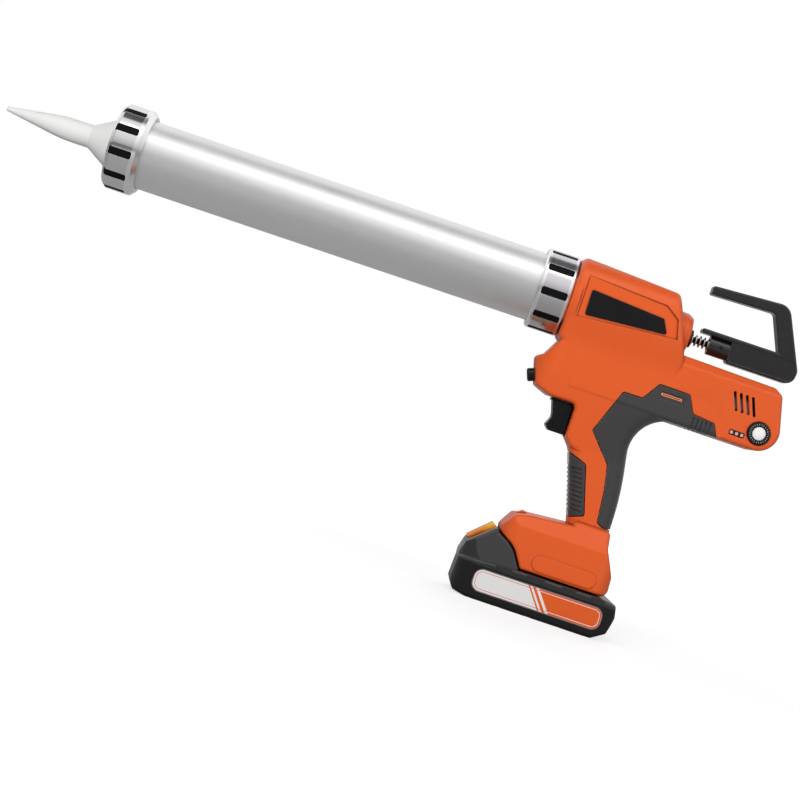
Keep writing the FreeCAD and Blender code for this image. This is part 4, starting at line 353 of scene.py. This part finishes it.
# Materials

# Share of the edge colour, a painted highlight partly from wear, where the edge mask is full
EDGE_SHARE = 0.6
# Tool lines on metal: depth in metres, strength, shade between them, share in the roughness
LINE_DEPTH = 0.000006
LINE_STRENGTH = 0.4
LINE_SHADE = 0.93
LINE_SHARE = 0.35
# Shares of the rod's radius where the dark grooves end and the bright crest begins
ROD_CREST = (0.62, 0.90)
# Each collar's inserts, the colour of its panels' painted shade, and change of roughness from the
# rims to the panels
COLLAR_PANELS = (("front_collar_grips", "front_panel_shade", -0.11),
                 ("rear_collar_grips", "panel", -0.04))
# Shares of an insert's half length where a panel's painted shade begins and is full
PANEL_RANGE = (0.97, 0.93)
# Ticks on the dial: count, half a tick's share of a step, and shares of the dial's radius
TICK_COUNT = 24
TICK_HALF = 0.11
TICK_RING = (0.72, 0.86)
# Half width of the painted slot shade line as a share of half the bar's height
TRIM_SLOT_HALF = 0.34
# Label: slant, then bands along it from start to end as shares of half the length
LABEL_SLANT = 0.75
LABEL_END = (0.10, 2.0)
LABEL_STRIPES = ((0.00, 0.05), (-0.07, -0.04))
# Fine line on the label: its place in from the edge and half its width, in border widths
LABEL_LINE_INSET = 3.0
LABEL_LINE_HALF = 0.3


def blank_material(name):
    """A material with one Principled BSDF; returns it, its tree and the shader."""
    material = bpy.data.materials.new(name)
    material.use_nodes = True
    tree = material.node_tree
    return material, tree, tree.nodes["Principled BSDF"]


def feed(material):
    """The tree and the shader of a material, and the colour that feeds its Base Color."""
    tree = material.node_tree
    shader = tree.nodes["Principled BSDF"]
    return tree, shader, shader.inputs["Base Color"].links[0].from_socket


def moulded(name, base, edge=None, *, rough, grain, depth, tone, strength=0.5, specular=0.5,
            radius=1.0):
    """Moulded plastic or rubber: slow tone changes, edges turned towards the edge colour as a
    painted highlight broken by wear, painted shade in the grooves beside them, handling smudges in
    the gloss, fine grain. With no edge colour, the painted edge highlight and the groove shade are
    left out.
    rough is the range of roughness, grain the grains in a metre, depth their height, tone the
    share by which the colour changes, and radius the edge softness in edge sizes."""
    material, tree, shader = blank_material(name)
    marks = shared(tree, "Moulded grain", {"Grains per metre": grain})
    edges = shared(tree, "Soft edges", {"Radius": sizes().edge * radius})
    dark = tuple(channel * (1 - tone) for channel in base)
    light = tuple(min(1.0, channel * (1 + tone)) for channel in base)
    paint = mixed(tree, marks["Tone"], rgba(dark), rgba(light))
    if edge:
        # Painted highlight, partly wear: sharp edges are turned towards the edge colour.
        edge_wear_and_highlight = maths(tree, "MULTIPLY", edges["Edge"], EDGE_SHARE)
        paint = mixed(tree, edge_wear_and_highlight, paint, rgba(edge))
        # Painted shade: grooves and seams with little open room close by are darkened with the
        # recess colour.
        recess = shared(tree, "Recess shade mask", {"Reach": sizes().recess})["Recess"]
        paint = mixed(tree, recess, paint, rgba(colours().recess))
    bump = put(tree, "ShaderNodeBump", {"Strength": strength, "Distance": depth,
                                        "Height": marks["Height"], "Normal": edges["Normal"]})
    join(tree, shader, {"Base Color": paint,
                        "Roughness": remap(tree, marks["Smudge"], 0.0, 1.0, *rough),
                        "Specular IOR Level": specular,
                        "Normal": bump.outputs["Normal"]})
    return material


def worked_metal(name, base, *, rough, lines="Round", count=2500.0):
    """Turned, drawn or polished metal: fine tool lines, slow changes of polish and soft edges.
    rough is the range of roughness, lines their direction and count the lines in a metre."""
    material, tree, shader = blank_material(name)
    cut = shared(tree, "Drawn lines", {"Lines per metre": count})[lines]
    marks = shared(tree, "Moulded grain", {})
    edges = shared(tree, "Soft edges", {"Radius": sizes().edge})
    dark = tuple(channel * LINE_SHADE for channel in base)
    polish = maths(tree, "ADD", maths(tree, "MULTIPLY", cut, LINE_SHARE),
                   maths(tree, "MULTIPLY", marks["Smudge"], 1.0 - LINE_SHARE))
    bump = put(tree, "ShaderNodeBump", {"Strength": LINE_STRENGTH, "Distance": LINE_DEPTH,
                                        "Height": cut, "Normal": edges["Normal"]})
    join(tree, shader, {"Base Color": mixed(tree, cut, rgba(dark), rgba(base)),
                        "Roughness": remap(tree, polish, 0.0, 1.0, *rough),
                        "Metallic": 1.0,
                        "Normal": bump.outputs["Normal"]})
    return material


def milky(material, weight, radius):
    """Light inside a pale plastic, to the given depth in red, green and blue."""
    tree, shader, _ = feed(material)
    join(tree, shader, {"Subsurface Weight": weight, "Subsurface Radius": radius})


def nozzle_plastic(name, tint):
    """Milky translucent polyethylene: soft light inside, slow flow marks and a waxy gloss."""
    material = moulded(name, tint.nozzle, rough=(0.28, 0.42), grain=900.0, depth=0.00002,
                       tone=0.03)
    milky(material, weight=0.6, radius=(0.006, 0.006, 0.0055))


def dial_cap_plastic(name, tint):
    """White cap: smooth, with a little light inside."""
    material = moulded(name, tint.cap, rough=(0.26, 0.36), grain=1500.0, depth=0.00002, tone=0.03)
    milky(material, weight=0.4, radius=(0.002, 0.002, 0.002))


def lens_plastic(name, tint):
    """Unlit lens: pale red, glossy, with a little light inside."""
    material = moulded(name, tint.lens, rough=(0.18, 0.28), grain=900.0, depth=0.00001, tone=0.05)
    milky(material, weight=0.4, radius=(0.001, 0.0007, 0.0006))


def grip_rubber(name, tint):
    """Grip rubber: moulded, with a soft dusty sheen where it turns away."""
    material = moulded(name, tint.rubber, tint.rubber_edge, rough=(0.36, 0.48), grain=1300.0,
                       depth=0.00004, tone=0.12, strength=0.7, radius=2.2)
    tree, shader, _ = feed(material)
    join(tree, shader, {"Sheen Weight": 0.55, "Sheen Roughness": 0.3})


def rod_steel(name, tint):
    """Steel rod with ring teeth: bright on the crests, dark in the grooves towards the axis."""
    tree, shader, steel = feed(worked_metal(name, tint.rod, rough=(0.16, 0.30)))
    low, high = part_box("rack_rod")
    from_axis = distance(tree, centred(tree, (low + high) / 2, (0.0, 1.0, 1.0)))
    tip = (high.z - low.z) / 2
    # Darker towards the axis: the grooves turn to the groove colour.
    crest = remap(tree, from_axis, *(tip * part for part in ROD_CREST))
    join(tree, shader, {"Base Color": mixed(tree, crest, rgba(tint.groove_dark), steel)})


def collar_metal(name, tint):
    """Plated collars: bright rims, and panels in the length that the black inserts take up, whose
    darker colour is painted shade; polished and pale on the front collar, satin and greyer on the
    rear one."""
    tree, shader, paint = feed(worked_metal(name, tint.silver, rough=(0.21, 0.27)))
    polish = shader.inputs["Roughness"].links[0].from_socket
    along = axes(tree, object_coords(tree))["X"]
    for inserts, panel, rougher in COLLAR_PANELS:
        low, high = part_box(inserts)
        half = (high.x - low.x) / 2
        off_centre = maths(tree, "SUBTRACT", along, (low.x + high.x) / 2)
        panels = remap(tree, maths(tree, "ABSOLUTE", off_centre),
                       *(half * part for part in PANEL_RANGE))
        # Painted shade: the panels take a darker copy of the collar's silver.
        paint = mixed(tree, panels, paint, rgba(getattr(tint, panel)))
        polish = maths(tree, "ADD", polish, maths(tree, "MULTIPLY", panels, rougher))
    join(tree, shader, {"Base Color": paint, "Roughness": polish})


def dial_plastic(name, tint):
    """Black dial with a ring of printed ticks: a tick is where the angle round the dial is near a
    whole step."""
    material = moulded(name, tint.gloss_black, tint.black_edge, rough=(0.24, 0.34), grain=1500.0,
                       depth=0.00003, tone=0.10, specular=0.36)
    tree, shader, black = feed(material)
    low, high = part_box("speed_dial")
    inner, outer = ((high.x - low.x) / 2 * part for part in TICK_RING)
    place = centred(tree, (low + high) / 2, (1.0, 0.0, 1.0))
    parts = axes(tree, place)
    angle = maths(tree, "ARCTAN2", parts["Z"], parts["X"])
    steps = maths(tree, "MULTIPLY", angle, TICK_COUNT / (2.0 * math.pi))
    off_step = maths(tree, "PINGPONG", steps, 0.5)
    out = distance(tree, place)
    ring = maths(tree, "MULTIPLY", maths(tree, "GREATER_THAN", out, inner),
                 maths(tree, "LESS_THAN", out, outer))
    tick = maths(tree, "MULTIPLY", ring, maths(tree, "LESS_THAN", off_step, TICK_HALF))
    join(tree, shader, {"Base Color": mixed(tree, tick, black, rgba(tint.tick))})


def trim_plastic(name, tint):
    """Small bar in the palm grip: orange, with a dark line along its middle painted as the shade of
    a slot.
    """
    material = moulded(name, tint.orange_edge, tint.orange_edge, rough=(0.31, 0.41), grain=1500.0,
                       depth=0.00002, tone=0.04)
    tree, shader, orange = feed(material)
    low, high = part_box("grip_trim_left")
    half_x, half_z = (high.x - low.x) / 2, (high.z - low.z) / 2
    place = axes(tree, centred(tree, (low + high) / 2))
    short = maths(tree, "LESS_THAN", maths(tree, "ABSOLUTE", place["X"]), half_x - half_z)
    thin = maths(tree, "LESS_THAN", maths(tree, "ABSOLUTE", place["Z"]), half_z * TRIM_SLOT_HALF)
    slot_shade_line = maths(tree, "MULTIPLY", short, thin)
    # Painted shade: the slot line takes the dark slot colour.
    join(tree, shader, {"Base Color": mixed(tree, slot_shade_line, orange, rgba(tint.trim_slot_shade))})


def release_plastic(name, tint):
    """Release button: orange that turns yellow over the upper half of its height."""
    material = moulded(name, tint.release, tint.release_edge, rough=(0.28, 0.40), grain=1600.0,
                       depth=0.00003, tone=0.05, radius=2.5)
    tree, shader, orange = feed(material)
    low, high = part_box("battery_release")
    height = axes(tree, object_coords(tree))["Z"]
    yellow = remap(tree, height, (low.z + high.z) / 2, high.z)
    join(tree, shader, {"Base Color": mixed(tree, yellow, orange, rgba(tint.release_edge))})


def label_film(name, tint):
    """Printed label: a pale field with a grey border, a slanted orange end with two stripes beside
    it, and a fine line set in from the edge, orange on the field and pale on the orange."""
    material = moulded(name, tint.label_white, rough=(0.16, 0.26), grain=700.0, depth=0.00001,
                       tone=0.02)
    tree, shader, field = feed(material)
    corner, border = sizes().label_round, sizes().label_border
    low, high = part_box("battery_label_left")
    half_x, half_z = (high.x - low.x) / 2, (high.z - low.z) / 2
    place = axes(tree, centred(tree, ((low.x + high.x) / 2, 0.0, (low.z + high.z) / 2)))
    slanted = maths(tree, "ADD", place["X"], maths(tree, "MULTIPLY", place["Z"], LABEL_SLANT))

    def band(start, end):
        """1 between two shares of the label's half length, along the slant."""
        inside = maths(tree, "GREATER_THAN", slanted, start * half_x)
        return maths(tree, "MULTIPLY", inside, maths(tree, "LESS_THAN", slanted, end * half_x))

    def beyond(axis, half):
        """How far a point lies past the straight part of an edge, or 0."""
        past = maths(tree, "SUBTRACT", maths(tree, "ABSOLUTE", place[axis]), half - corner)
        return maths(tree, "MAXIMUM", past, 0.0)

    end_field = band(*LABEL_END)
    stripes = maths(tree, "ADD", *(band(*stripe) for stripe in LABEL_STRIPES))
    bands = maths(tree, "ADD", end_field, stripes)
    paint = mixed(tree, bands, field, rgba(tint.label_orange))
    line_colour = mixed(tree, end_field, rgba(tint.label_orange), rgba(tint.label_white))
    to_corner = {"X": beyond("X", half_x), "Y": beyond("Z", half_z)}
    rim = distance(tree, put(tree, "ShaderNodeCombineXYZ", to_corner).outputs["Vector"])
    off_line = maths(tree, "SUBTRACT", rim, corner - LABEL_LINE_INSET * border)
    line = maths(tree, "LESS_THAN", maths(tree, "ABSOLUTE", off_line), LABEL_LINE_HALF * border)
    paint = mixed(tree, line, paint, line_colour)
    edge = maths(tree, "GREATER_THAN", rim, corner - border)
    join(tree, shader, {"Base Color": mixed(tree, edge, paint, rgba(tint.label_grey))})


def moulded_finishes(tint):
    """Values of the finishes that are plain moulded plastic or rubber."""
    return {
        "orange_plastic": dict(base=tint.orange, edge=tint.orange_edge, rough=(0.31, 0.41),
                               grain=1500.0, depth=0.00002, tone=0.04, specular=0.42, radius=1.6),
        "hook_plastic": dict(base=tint.hook, edge=tint.black_edge, rough=(0.22, 0.32),
                             grain=1100.0, depth=0.00004, tone=0.20, strength=0.6, specular=0.60,
                             radius=2.4),
        "black_plastic": dict(base=tint.black, edge=tint.black_edge, rough=(0.30, 0.42),
                              grain=1500.0, depth=0.00003, tone=0.12, specular=0.36, radius=1.8),
        "cover_plastic": dict(base=tint.cover, edge=tint.black_edge, rough=(0.17, 0.25),
                              grain=1500.0, depth=0.000015, tone=0.12, specular=0.65, radius=1.6),
        "insert_rubber": dict(base=tint.gloss_black, rough=(0.60, 0.72), grain=900.0,
                              depth=0.00004, tone=0.10, strength=0.6, specular=0.10),
        "gloss_black": dict(base=tint.gloss_black, edge=tint.black_edge, rough=(0.16, 0.26),
                            grain=700.0, depth=0.00001, tone=0.10, specular=0.30),
        "nameplate_black": dict(base=tint.nameplate, edge=tint.black_edge, rough=(0.30, 0.42),
                                grain=2600.0, depth=0.00002, tone=0.10, specular=0.22),
        "indicator_window": dict(base=tint.window, rough=(0.08, 0.16), grain=500.0, depth=0.00001,
                                 tone=0.10),
        "board_green": dict(base=tint.board, rough=(0.25, 0.40), grain=2500.0, depth=0.00002,
                            tone=0.20),
        "cell_wrap": dict(base=tint.cell, rough=(0.30, 0.40), grain=700.0, depth=0.00001,
                          tone=0.06),
    }


def metal_finishes(tint):
    """Values of the finishes that are plain worked metal."""
    return {
        "barrel_aluminium": dict(base=tint.aluminium, rough=(0.40, 0.48), lines="Along",
                                 count=1500.0),
        "seat_aluminium": dict(base=tint.seat, rough=(0.25, 0.40)),
        "gear_steel": dict(base=tint.steel, rough=(0.22, 0.40)),
        "bush_bronze": dict(base=tint.bronze, rough=(0.30, 0.50)),
        "motor_can": dict(base=tint.motor, rough=(0.30, 0.45)),
        "contact_brass": dict(base=tint.brass, rough=(0.20, 0.35)),
    }


# Finishes with a pattern or a light of their own
OWN_FINISHES = {
    "nozzle_plastic": nozzle_plastic,
    "dial_cap_plastic": dial_cap_plastic,
    "led_red": lens_plastic,
    "grip_rubber": grip_rubber,
    "rod_steel": rod_steel,
    "collar_metal": collar_metal,
    "dial_plastic": dial_plastic,
    "trim_plastic": trim_plastic,
    "release_orange": release_plastic,
    "label_film": label_film,
}


def finish_of(slot):
    """The finished material for a material slot, made once."""
    name = f"{slot}_dressed"
    if name not in bpy.data.materials:
        tint = colours()
        plastics, metals = moulded_finishes(tint), metal_finishes(tint)
        if slot in plastics:
            moulded(name, **plastics[slot])
        elif slot in metals:
            worked_metal(name, **metals[slot])
        else:
            OWN_FINISHES[slot](name, tint)
    return bpy.data.materials[name]


def dress(*nodes, finish=None):
    """Gives CAD nodes, which keep their shape, the finish of their slot or the one named."""
    for node in nodes:
        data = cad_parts[node].data
        for index, held in enumerate(data.materials):
            data.materials[index] = finish_of(finish or held.name.split(".")[0])


# Added pieces

# Edges that turn less than this are shaded smooth
SMOOTH_BELOW = math.radians(50.0)
# Domes: power of the crown, and exponent of the outline, where 2 is a circle
CAP_POWER, CAP_SQUARE = 2.6, 2.0
LENS_POWER, LENS_SQUARE = 3.0, 4.0
LENS_COUNT = 3
# Middle of the gap between the foot and the battery's block, as (x, z) from front to rear
SEAL_PATH = ((-0.0352, 0.05085), (-0.0330, 0.04985), (-0.0304, 0.04855), (-0.0290, 0.04775),
             (-0.0278, 0.04695), (-0.0265, 0.04595), (-0.0254, 0.04495))


def add_piece(name, points, faces, slot, body):
    """Puts points and faces into a new object that has the finish of a slot and rides on a body."""
    mesh = bpy.data.meshes.new(name)
    mesh.from_pydata(points.tolist(), [], faces)
    mesh.polygons.foreach_set("use_smooth", np.ones(len(mesh.polygons), dtype=bool))
    mesh.set_sharp_from_angle(angle=SMOOTH_BELOW)
    mesh.materials.append(finish_of(slot))
    piece = bpy.data.objects.new(name, mesh)
    bpy.context.collection.objects.link(piece)
    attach(piece, body)
    return piece


def band_faces(rings, around):
    """Quads between closed rings of points: a point, its place on the next ring, the point after
    that one, and the point after the first."""
    here = np.arange(around)
    after = (here + 1) % around
    rows = (np.arange(rings - 1) * around)[:, None]
    onward = rows + around
    quads = np.stack([rows + here, onward + here, onward + after, rows + after], axis=-1)
    return quads.reshape(-1, 4).tolist()


def dome(name, centre, half, rise, sink, power, square, slot, body, rings=14, steps=72):
    """A closed dome that faces -Y. On the grid (s, t), with s from 0 to 1 and t once round, the
    outline is a superellipse: x = cx + half s f cos t and z = cz + half s f sin t, where
    f = (|cos t|^n + |sin t|^n)^(-1/n) and n is square. The crown is y = cy - rise (1 - s^power).
    A last ring at full size lies sink behind the rim."""
    cx, cy, cz = centre
    turn = np.linspace(0.0, 2.0 * np.pi, steps, endpoint=False)
    cosine, sine = np.cos(turn), np.sin(turn)
    stretch = (np.abs(cosine) ** square + np.abs(sine) ** square) ** (-1.0 / square)
    out = np.linspace(0.0, 1.0, rings + 1)[1:]
    reach = half * np.append(out, 1.0)[:, None] * stretch
    depth = np.append(cy - rise * (1.0 - out ** power), cy + sink)[:, None]
    grid = np.stack([cx + reach * cosine, np.broadcast_to(depth, reach.shape),
                     cz + reach * sine], axis=-1)
    points = np.vstack([grid.reshape(-1, 3), [[cx, cy - rise, cz], [cx, cy + sink, cz]]])
    top, last = (rings + 1) * steps, rings * steps
    here = np.arange(steps)
    after = (here + 1) % steps
    crown = np.stack([np.full(steps, top), here, after], axis=-1)
    back = np.stack([np.full(steps, top + 1), last + after, last + here], axis=-1)
    faces = band_faces(rings + 1, steps) + crown.tolist() + back.tolist()
    return add_piece(name, points, faces, slot, body)


def strip(name, path, width, thickness, slot, body):
    """A closed strip whose rectangular profile is carried along a path in the XZ plane. At path
    point p with normal n, the four corners are p +/- n thickness/2, each at y = +/- width/2; two
    end faces close it."""
    path = np.asarray(path, dtype=float)
    along = np.gradient(path, axis=0)
    along /= np.linalg.norm(along, axis=1, keepdims=True)
    normal = np.stack([-along[:, 1], along[:, 0]], axis=-1) * thickness / 2
    sides = np.array([[1.0, 1.0], [1.0, -1.0], [-1.0, -1.0], [-1.0, 1.0]])
    flat = path[:, None, :] + normal[:, None, :] * sides[None, :, :1]
    depth = np.broadcast_to(sides[None, :, 1] * width / 2, flat.shape[:2])
    points = np.stack([flat[..., 0], depth, flat[..., 1]], axis=-1).reshape(-1, 3)
    first = np.arange(len(sides))
    last = first[::-1] + len(points) - len(sides)
    faces = band_faces(len(path), len(sides)) + [first.tolist(), last.tolist()]
    return add_piece(name, points, faces, slot, body)


class CAULK_OT_barrel_group(Operator):
    """Finishes the nozzle, the barrel and its seat, the collars and their black inserts"""
    bl_idname = "caulk.barrel_group"
    bl_label = "Barrel, collars and nozzle"

    def execute(self, context):
        dress("nozzle", "front_collar", "barrel_tube", "rear_collar", "barrel_seat")
        dress("front_collar_grips", "rear_collar_grips", finish="insert_rubber")
        return {"FINISHED"}


class CAULK_OT_rod_group(Operator):
    """Finishes the push rod and its bushes, the piston and the pull hook"""
    bl_idname = "caulk.rod_group"
    bl_label = "Rod and hook"

    def execute(self, context):
        dress("rack_rod", "piston", "piston_screw", "rod_bush_front")
        dress("pull_hook", finish="hook_plastic")
        dress("hook_pin", "rod_bush_rear", finish="black_plastic")
        return {"FINISHED"}


class CAULK_OT_housing_group(Operator):
    """Finishes the housing shells, the grips, the plates and the screws"""
    bl_idname = "caulk.housing_group"
    bl_label = "Housing and grips"

    def execute(self, context):
        for side in ("left", "right"):
            dress(f"housing_{side}", f"palm_grip_{side}", f"finger_grip_{side}",
                  f"nameplate_{side}")
            dress(f"grip_trim_{side}", finish="trim_plastic")
        dress("housing_screws")
        return {"FINISHED"}


class CAULK_OT_controls_group(Operator):
    """Finishes the trigger, the front button, the speed dial and the indicator window"""
    bl_idname = "caulk.controls_group"
    bl_label = "Trigger, button, dial and indicator"

    def execute(self, context):
        dress("trigger", "front_button", finish="gloss_black")
        dress("speed_dial", finish="dial_plastic")
        dress("led_window", "indicator_leds")
        return {"FINISHED"}


class CAULK_OT_dial_cap(Operator):
    """Makes the crowned white cap of the speed dial"""
    bl_idname = "caulk.dial_cap"
    bl_label = "Dial cap"

    def execute(self, context):
        low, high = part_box("dial_cap")
        rise = sizes().cap_rise
        rim = (low.x + high.x) / 2, low.y + rise, (low.z + high.z) / 2
        cap = dome("dial_cap_dome", rim, (high.x - low.x) / 2, rise, high.y - low.y - rise,
                   CAP_POWER, CAP_SQUARE, "dial_cap_plastic", "speed_dial")
        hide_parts("dial_cap")
        return {"FINISHED"}


class CAULK_OT_indicator_lenses(Operator):
    """Makes the lenses in the battery indicator's window"""
    bl_idname = "caulk.indicator_lenses"
    bl_label = "Indicator lenses"

    def execute(self, context):
        low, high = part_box("led_window")
        size, rise = sizes().lens, sizes().lens_rise
        pitch = (high.x - low.x) / LENS_COUNT
        for index in range(LENS_COUNT):
            rim = low.x + pitch * (index + 0.5), low.y, (low.z + high.z) / 2
            dome(f"indicator_lens_{index + 1}", rim, size, rise, rise, LENS_POWER, LENS_SQUARE,
                 "led_red", "tool", rings=8, steps=40)
        return {"FINISHED"}


class CAULK_OT_battery_group(Operator):
    """Finishes the battery, its labels and its release button"""
    bl_idname = "caulk.battery_group"
    bl_label = "Battery"

    def execute(self, context):
        dress("battery_case", "battery_label_left", "battery_label_right")
        dress("battery_cover", finish="cover_plastic")
        dress("battery_release", "battery_cells", "battery_contacts")
        return {"FINISHED"}


class CAULK_OT_battery_seal(Operator):
    """Makes the thin rubber seal in the gap between the foot and the battery"""
    bl_idname = "caulk.battery_seal"
    bl_label = "Battery seal"

    def execute(self, context):
        width, thickness = sizes().seal_width, sizes().seal_thickness
        strip("battery_seal", SEAL_PATH, width, thickness, "grip_rubber", "tool")
        return {"FINISHED"}


class CAULK_OT_inner_group(Operator):
    """Finishes the pieces inside the housing"""
    bl_idname = "caulk.inner_group"
    bl_label = "Motor, gears and electrics"

    def execute(self, context):
        dress("trigger_switch", "dial_potentiometer", "control_board", "motor", "gearbox")
        dress("bevel_pinion", "bevel_wheel", "cross_shaft", "transfer_pinion", "pinion_shaft")
        dress("transfer_gear", "rack_pinion", "shaft_bearings", "terminal_block",
              "terminal_blades")
        return {"FINISHED"}


# Studio

SENSOR_WIDTH = 36.0
# Lamps: name, place, edges in metres, power in watts, and whether it shows only in gloss
LAMPS = (
    ("key_lamp", (-0.6, -1.8, 0.85), (1.0, 0.8), 29.0, False),
    ("top_lamp", (-0.1, -0.80, 1.4), (1.6, 0.3), 3.0, True),
    ("fill_lamp", (1.2, -1.6, 0.4), (1.0, 1.0), 9.0, False),
    ("back_lamp", (0.4, 1.8, 0.9), (1.2, 1.0), 24.0, False),
)
# Floor: colour, strength of its glow in gloss, and the glow from near the tool to further off
FLOOR_GREY = (0.40, 0.40, 0.40, 1.0)
FLOOR_IN_GLOSS = 0.12
FLOOR_DISTANCES = (0.2, 1.6)
FLOOR_GLOW = (0.70, 1.0)
# What gloss and metal see: brightness by the height of the direction, from level to straight up
SKY_LEVELS = ((0.0, 0.14), (0.035, 0.16), (0.045, 0.46), (0.14, 0.60), (0.36, 0.86), (0.55, 1.0),
              (0.955, 1.0), (0.968, 0.12), (1.0, 0.08))


def add_lamp(name, place, size, power, mirrored, aim):
    """A soft rectangular lamp that faces the aim point. A mirrored one shows only in gloss and
    metal, any other one lights only matt colour."""
    data = bpy.data.lights.new(name, "AREA")
    data.shape = "RECTANGLE"
    data.size, data.size_y = size
    data.energy = power
    lamp = bpy.data.objects.new(name, data)
    lamp.visible_glossy = mirrored
    lamp.visible_diffuse = not mirrored
    bpy.context.collection.objects.link(lamp)
    facing = (Vector(aim) - Vector(place)).to_track_quat("-Z", "Y")
    lamp.matrix_world = Matrix.Translation(place) @ facing.to_matrix().to_4x4()


def add_floor(size):
    """A pale floor under the battery: it keeps the shadow near the tool and is white to the eye
    further off."""
    half = size / 2
    corners = [(-half, -half, 0), (half, -half, 0), (half, half, 0), (-half, half, 0)]
    mesh = bpy.data.meshes.new("studio_floor")
    mesh.from_pydata(corners, [], [(0, 1, 2, 3)])
    floor = bpy.data.objects.new("studio_floor", mesh)
    bpy.context.collection.objects.link(floor)
    material, tree, shader = blank_material("studio_floor")
    path = put(tree, "ShaderNodeLightPath").outputs
    seen = maths(tree, "MAXIMUM", path["Is Camera Ray"], path["Is Transmission Ray"])
    in_gloss = maths(tree, "MULTIPLY", path["Is Glossy Ray"], FLOOR_IN_GLOSS)
    seen = maths(tree, "MAXIMUM", seen, in_gloss)
    glow = remap(tree, distance(tree, object_coords(tree)), *FLOOR_DISTANCES, *FLOOR_GLOW)
    join(tree, shader, {"Base Color": FLOOR_GREY, "Roughness": 1.0, "Specular IOR Level": 0.0,
                        "Emission Color": WHITE,
                        "Emission Strength": maths(tree, "MULTIPLY", seen, glow)})
    mesh.materials.append(material)


def set_world(ambient):
    """White to the eye, soft even light on matt surfaces, and for gloss and metal a studio that is
    dim at the horizon, bright above it and dark straight overhead."""
    world = bpy.data.worlds.new("studio_world")
    bpy.context.scene.world = world
    world.use_nodes = True
    tree = world.node_tree
    tree.nodes.clear()
    path = put(tree, "ShaderNodeLightPath").outputs
    direction = put(tree, "ShaderNodeTexCoord").outputs["Generated"]
    ramp = put(tree, "ShaderNodeValToRGB", {"Fac": axes(tree, direction)["Z"]})
    stops = ramp.color_ramp.elements
    while len(stops) < len(SKY_LEVELS):
        stops.new(0.5)
    for stop, (position, level) in zip(stops, SKY_LEVELS):
        stop.position = position
        stop.color = (level, level, level, 1.0)
    gloss = remap(tree, path["Is Glossy Ray"], 0.0, 1.0, ambient, ramp.outputs["Color"])
    seen = maths(tree, "MAXIMUM", path["Is Camera Ray"], path["Is Transmission Ray"])
    strength = remap(tree, seen, 0.0, 1.0, gloss, 1.0)
    sky = put(tree, "ShaderNodeBackground", {"Color": WHITE, "Strength": strength})
    put(tree, "ShaderNodeOutputWorld", {"Surface": sky.outputs["Background"]})


def add_camera(studio):
    """Square view of the tool's left side, turned about the line of sight."""
    right = Vector((math.cos(studio.roll), 0, math.sin(studio.roll)))
    up = Vector((-math.sin(studio.roll), 0, math.cos(studio.roll)))
    back = Vector((0, -1, 0))
    place = Vector((studio.centre_x, -studio.distance, studio.centre_z))
    data = bpy.data.cameras.new("photo_camera")
    data.sensor_width = SENSOR_WIDTH
    data.lens = SENSOR_WIDTH * studio.distance / studio.frame_width
    camera = bpy.data.objects.new("photo_camera", data)
    bpy.context.collection.objects.link(camera)
    turn = Matrix((right, up, back)).transposed().to_4x4()
    camera.matrix_world = Matrix.Translation(place) @ turn
    bpy.context.scene.camera = camera


class CAULK_OT_stage(Operator):
    """Sets the camera, the lamps, the floor and the surroundings"""
    bl_idname = "caulk.stage"
    bl_label = "Studio"

    def execute(self, context):
        studio = context.scene.caulk_studio
        context.scene.view_settings.view_transform = "Standard"
        add_camera(studio)
        add_floor(studio.floor_size)
        set_world(studio.ambient)
        middle = (studio.centre_x, 0.0, studio.centre_z)
        for lamp in LAMPS:
            add_lamp(*lamp, middle)
        return {"FINISHED"}


OPERATORS = (
    CAULK_OT_barrel_group,
    CAULK_OT_rod_group,
    CAULK_OT_housing_group,
    CAULK_OT_controls_group,
    CAULK_OT_dial_cap,
    CAULK_OT_indicator_lenses,
    CAULK_OT_battery_group,
    CAULK_OT_battery_seal,
    CAULK_OT_inner_group,
    CAULK_OT_stage,
)
SETTINGS = {
    "caulk_colours": CaulkColours,
    "caulk_sizes": CaulkSizes,
    "caulk_studio": CaulkStudio,
}


class CAULK_PT_tool(Panel):
    """Lists the operators that dress the tool, and their settings"""
    bl_idname = "CAULK_PT_tool"
    bl_label = "Caulking tool"
    bl_space_type = "VIEW_3D"
    bl_region_type = "UI"
    bl_category = "Caulking tool"

    def draw(self, context):
        for operator in OPERATORS:
            self.layout.operator(operator.bl_idname)
        for name in SETTINGS:
            settings = getattr(context.scene, name)
            for field in settings.bl_rna.properties:
                if not field.is_readonly and field.identifier != "name":
                    self.layout.prop(settings, field.identifier)


CLASSES = (*SETTINGS.values(), *OPERATORS, CAULK_PT_tool)


def register():
    for item in CLASSES:
        bpy.utils.register_class(item)
    for name, settings in SETTINGS.items():
        setattr(bpy.types.Scene, name, PointerProperty(type=settings))


def unregister():
    for name in SETTINGS:
        delattr(bpy.types.Scene, name)
    for item in reversed(CLASSES):
        bpy.utils.unregister_class(item)


def main():
    register()
    for operator in OPERATORS:
        area, name = operator.bl_idname.split(".")
        getattr(getattr(bpy.ops, area), name)()


if __name__ == "__main__":
    main()
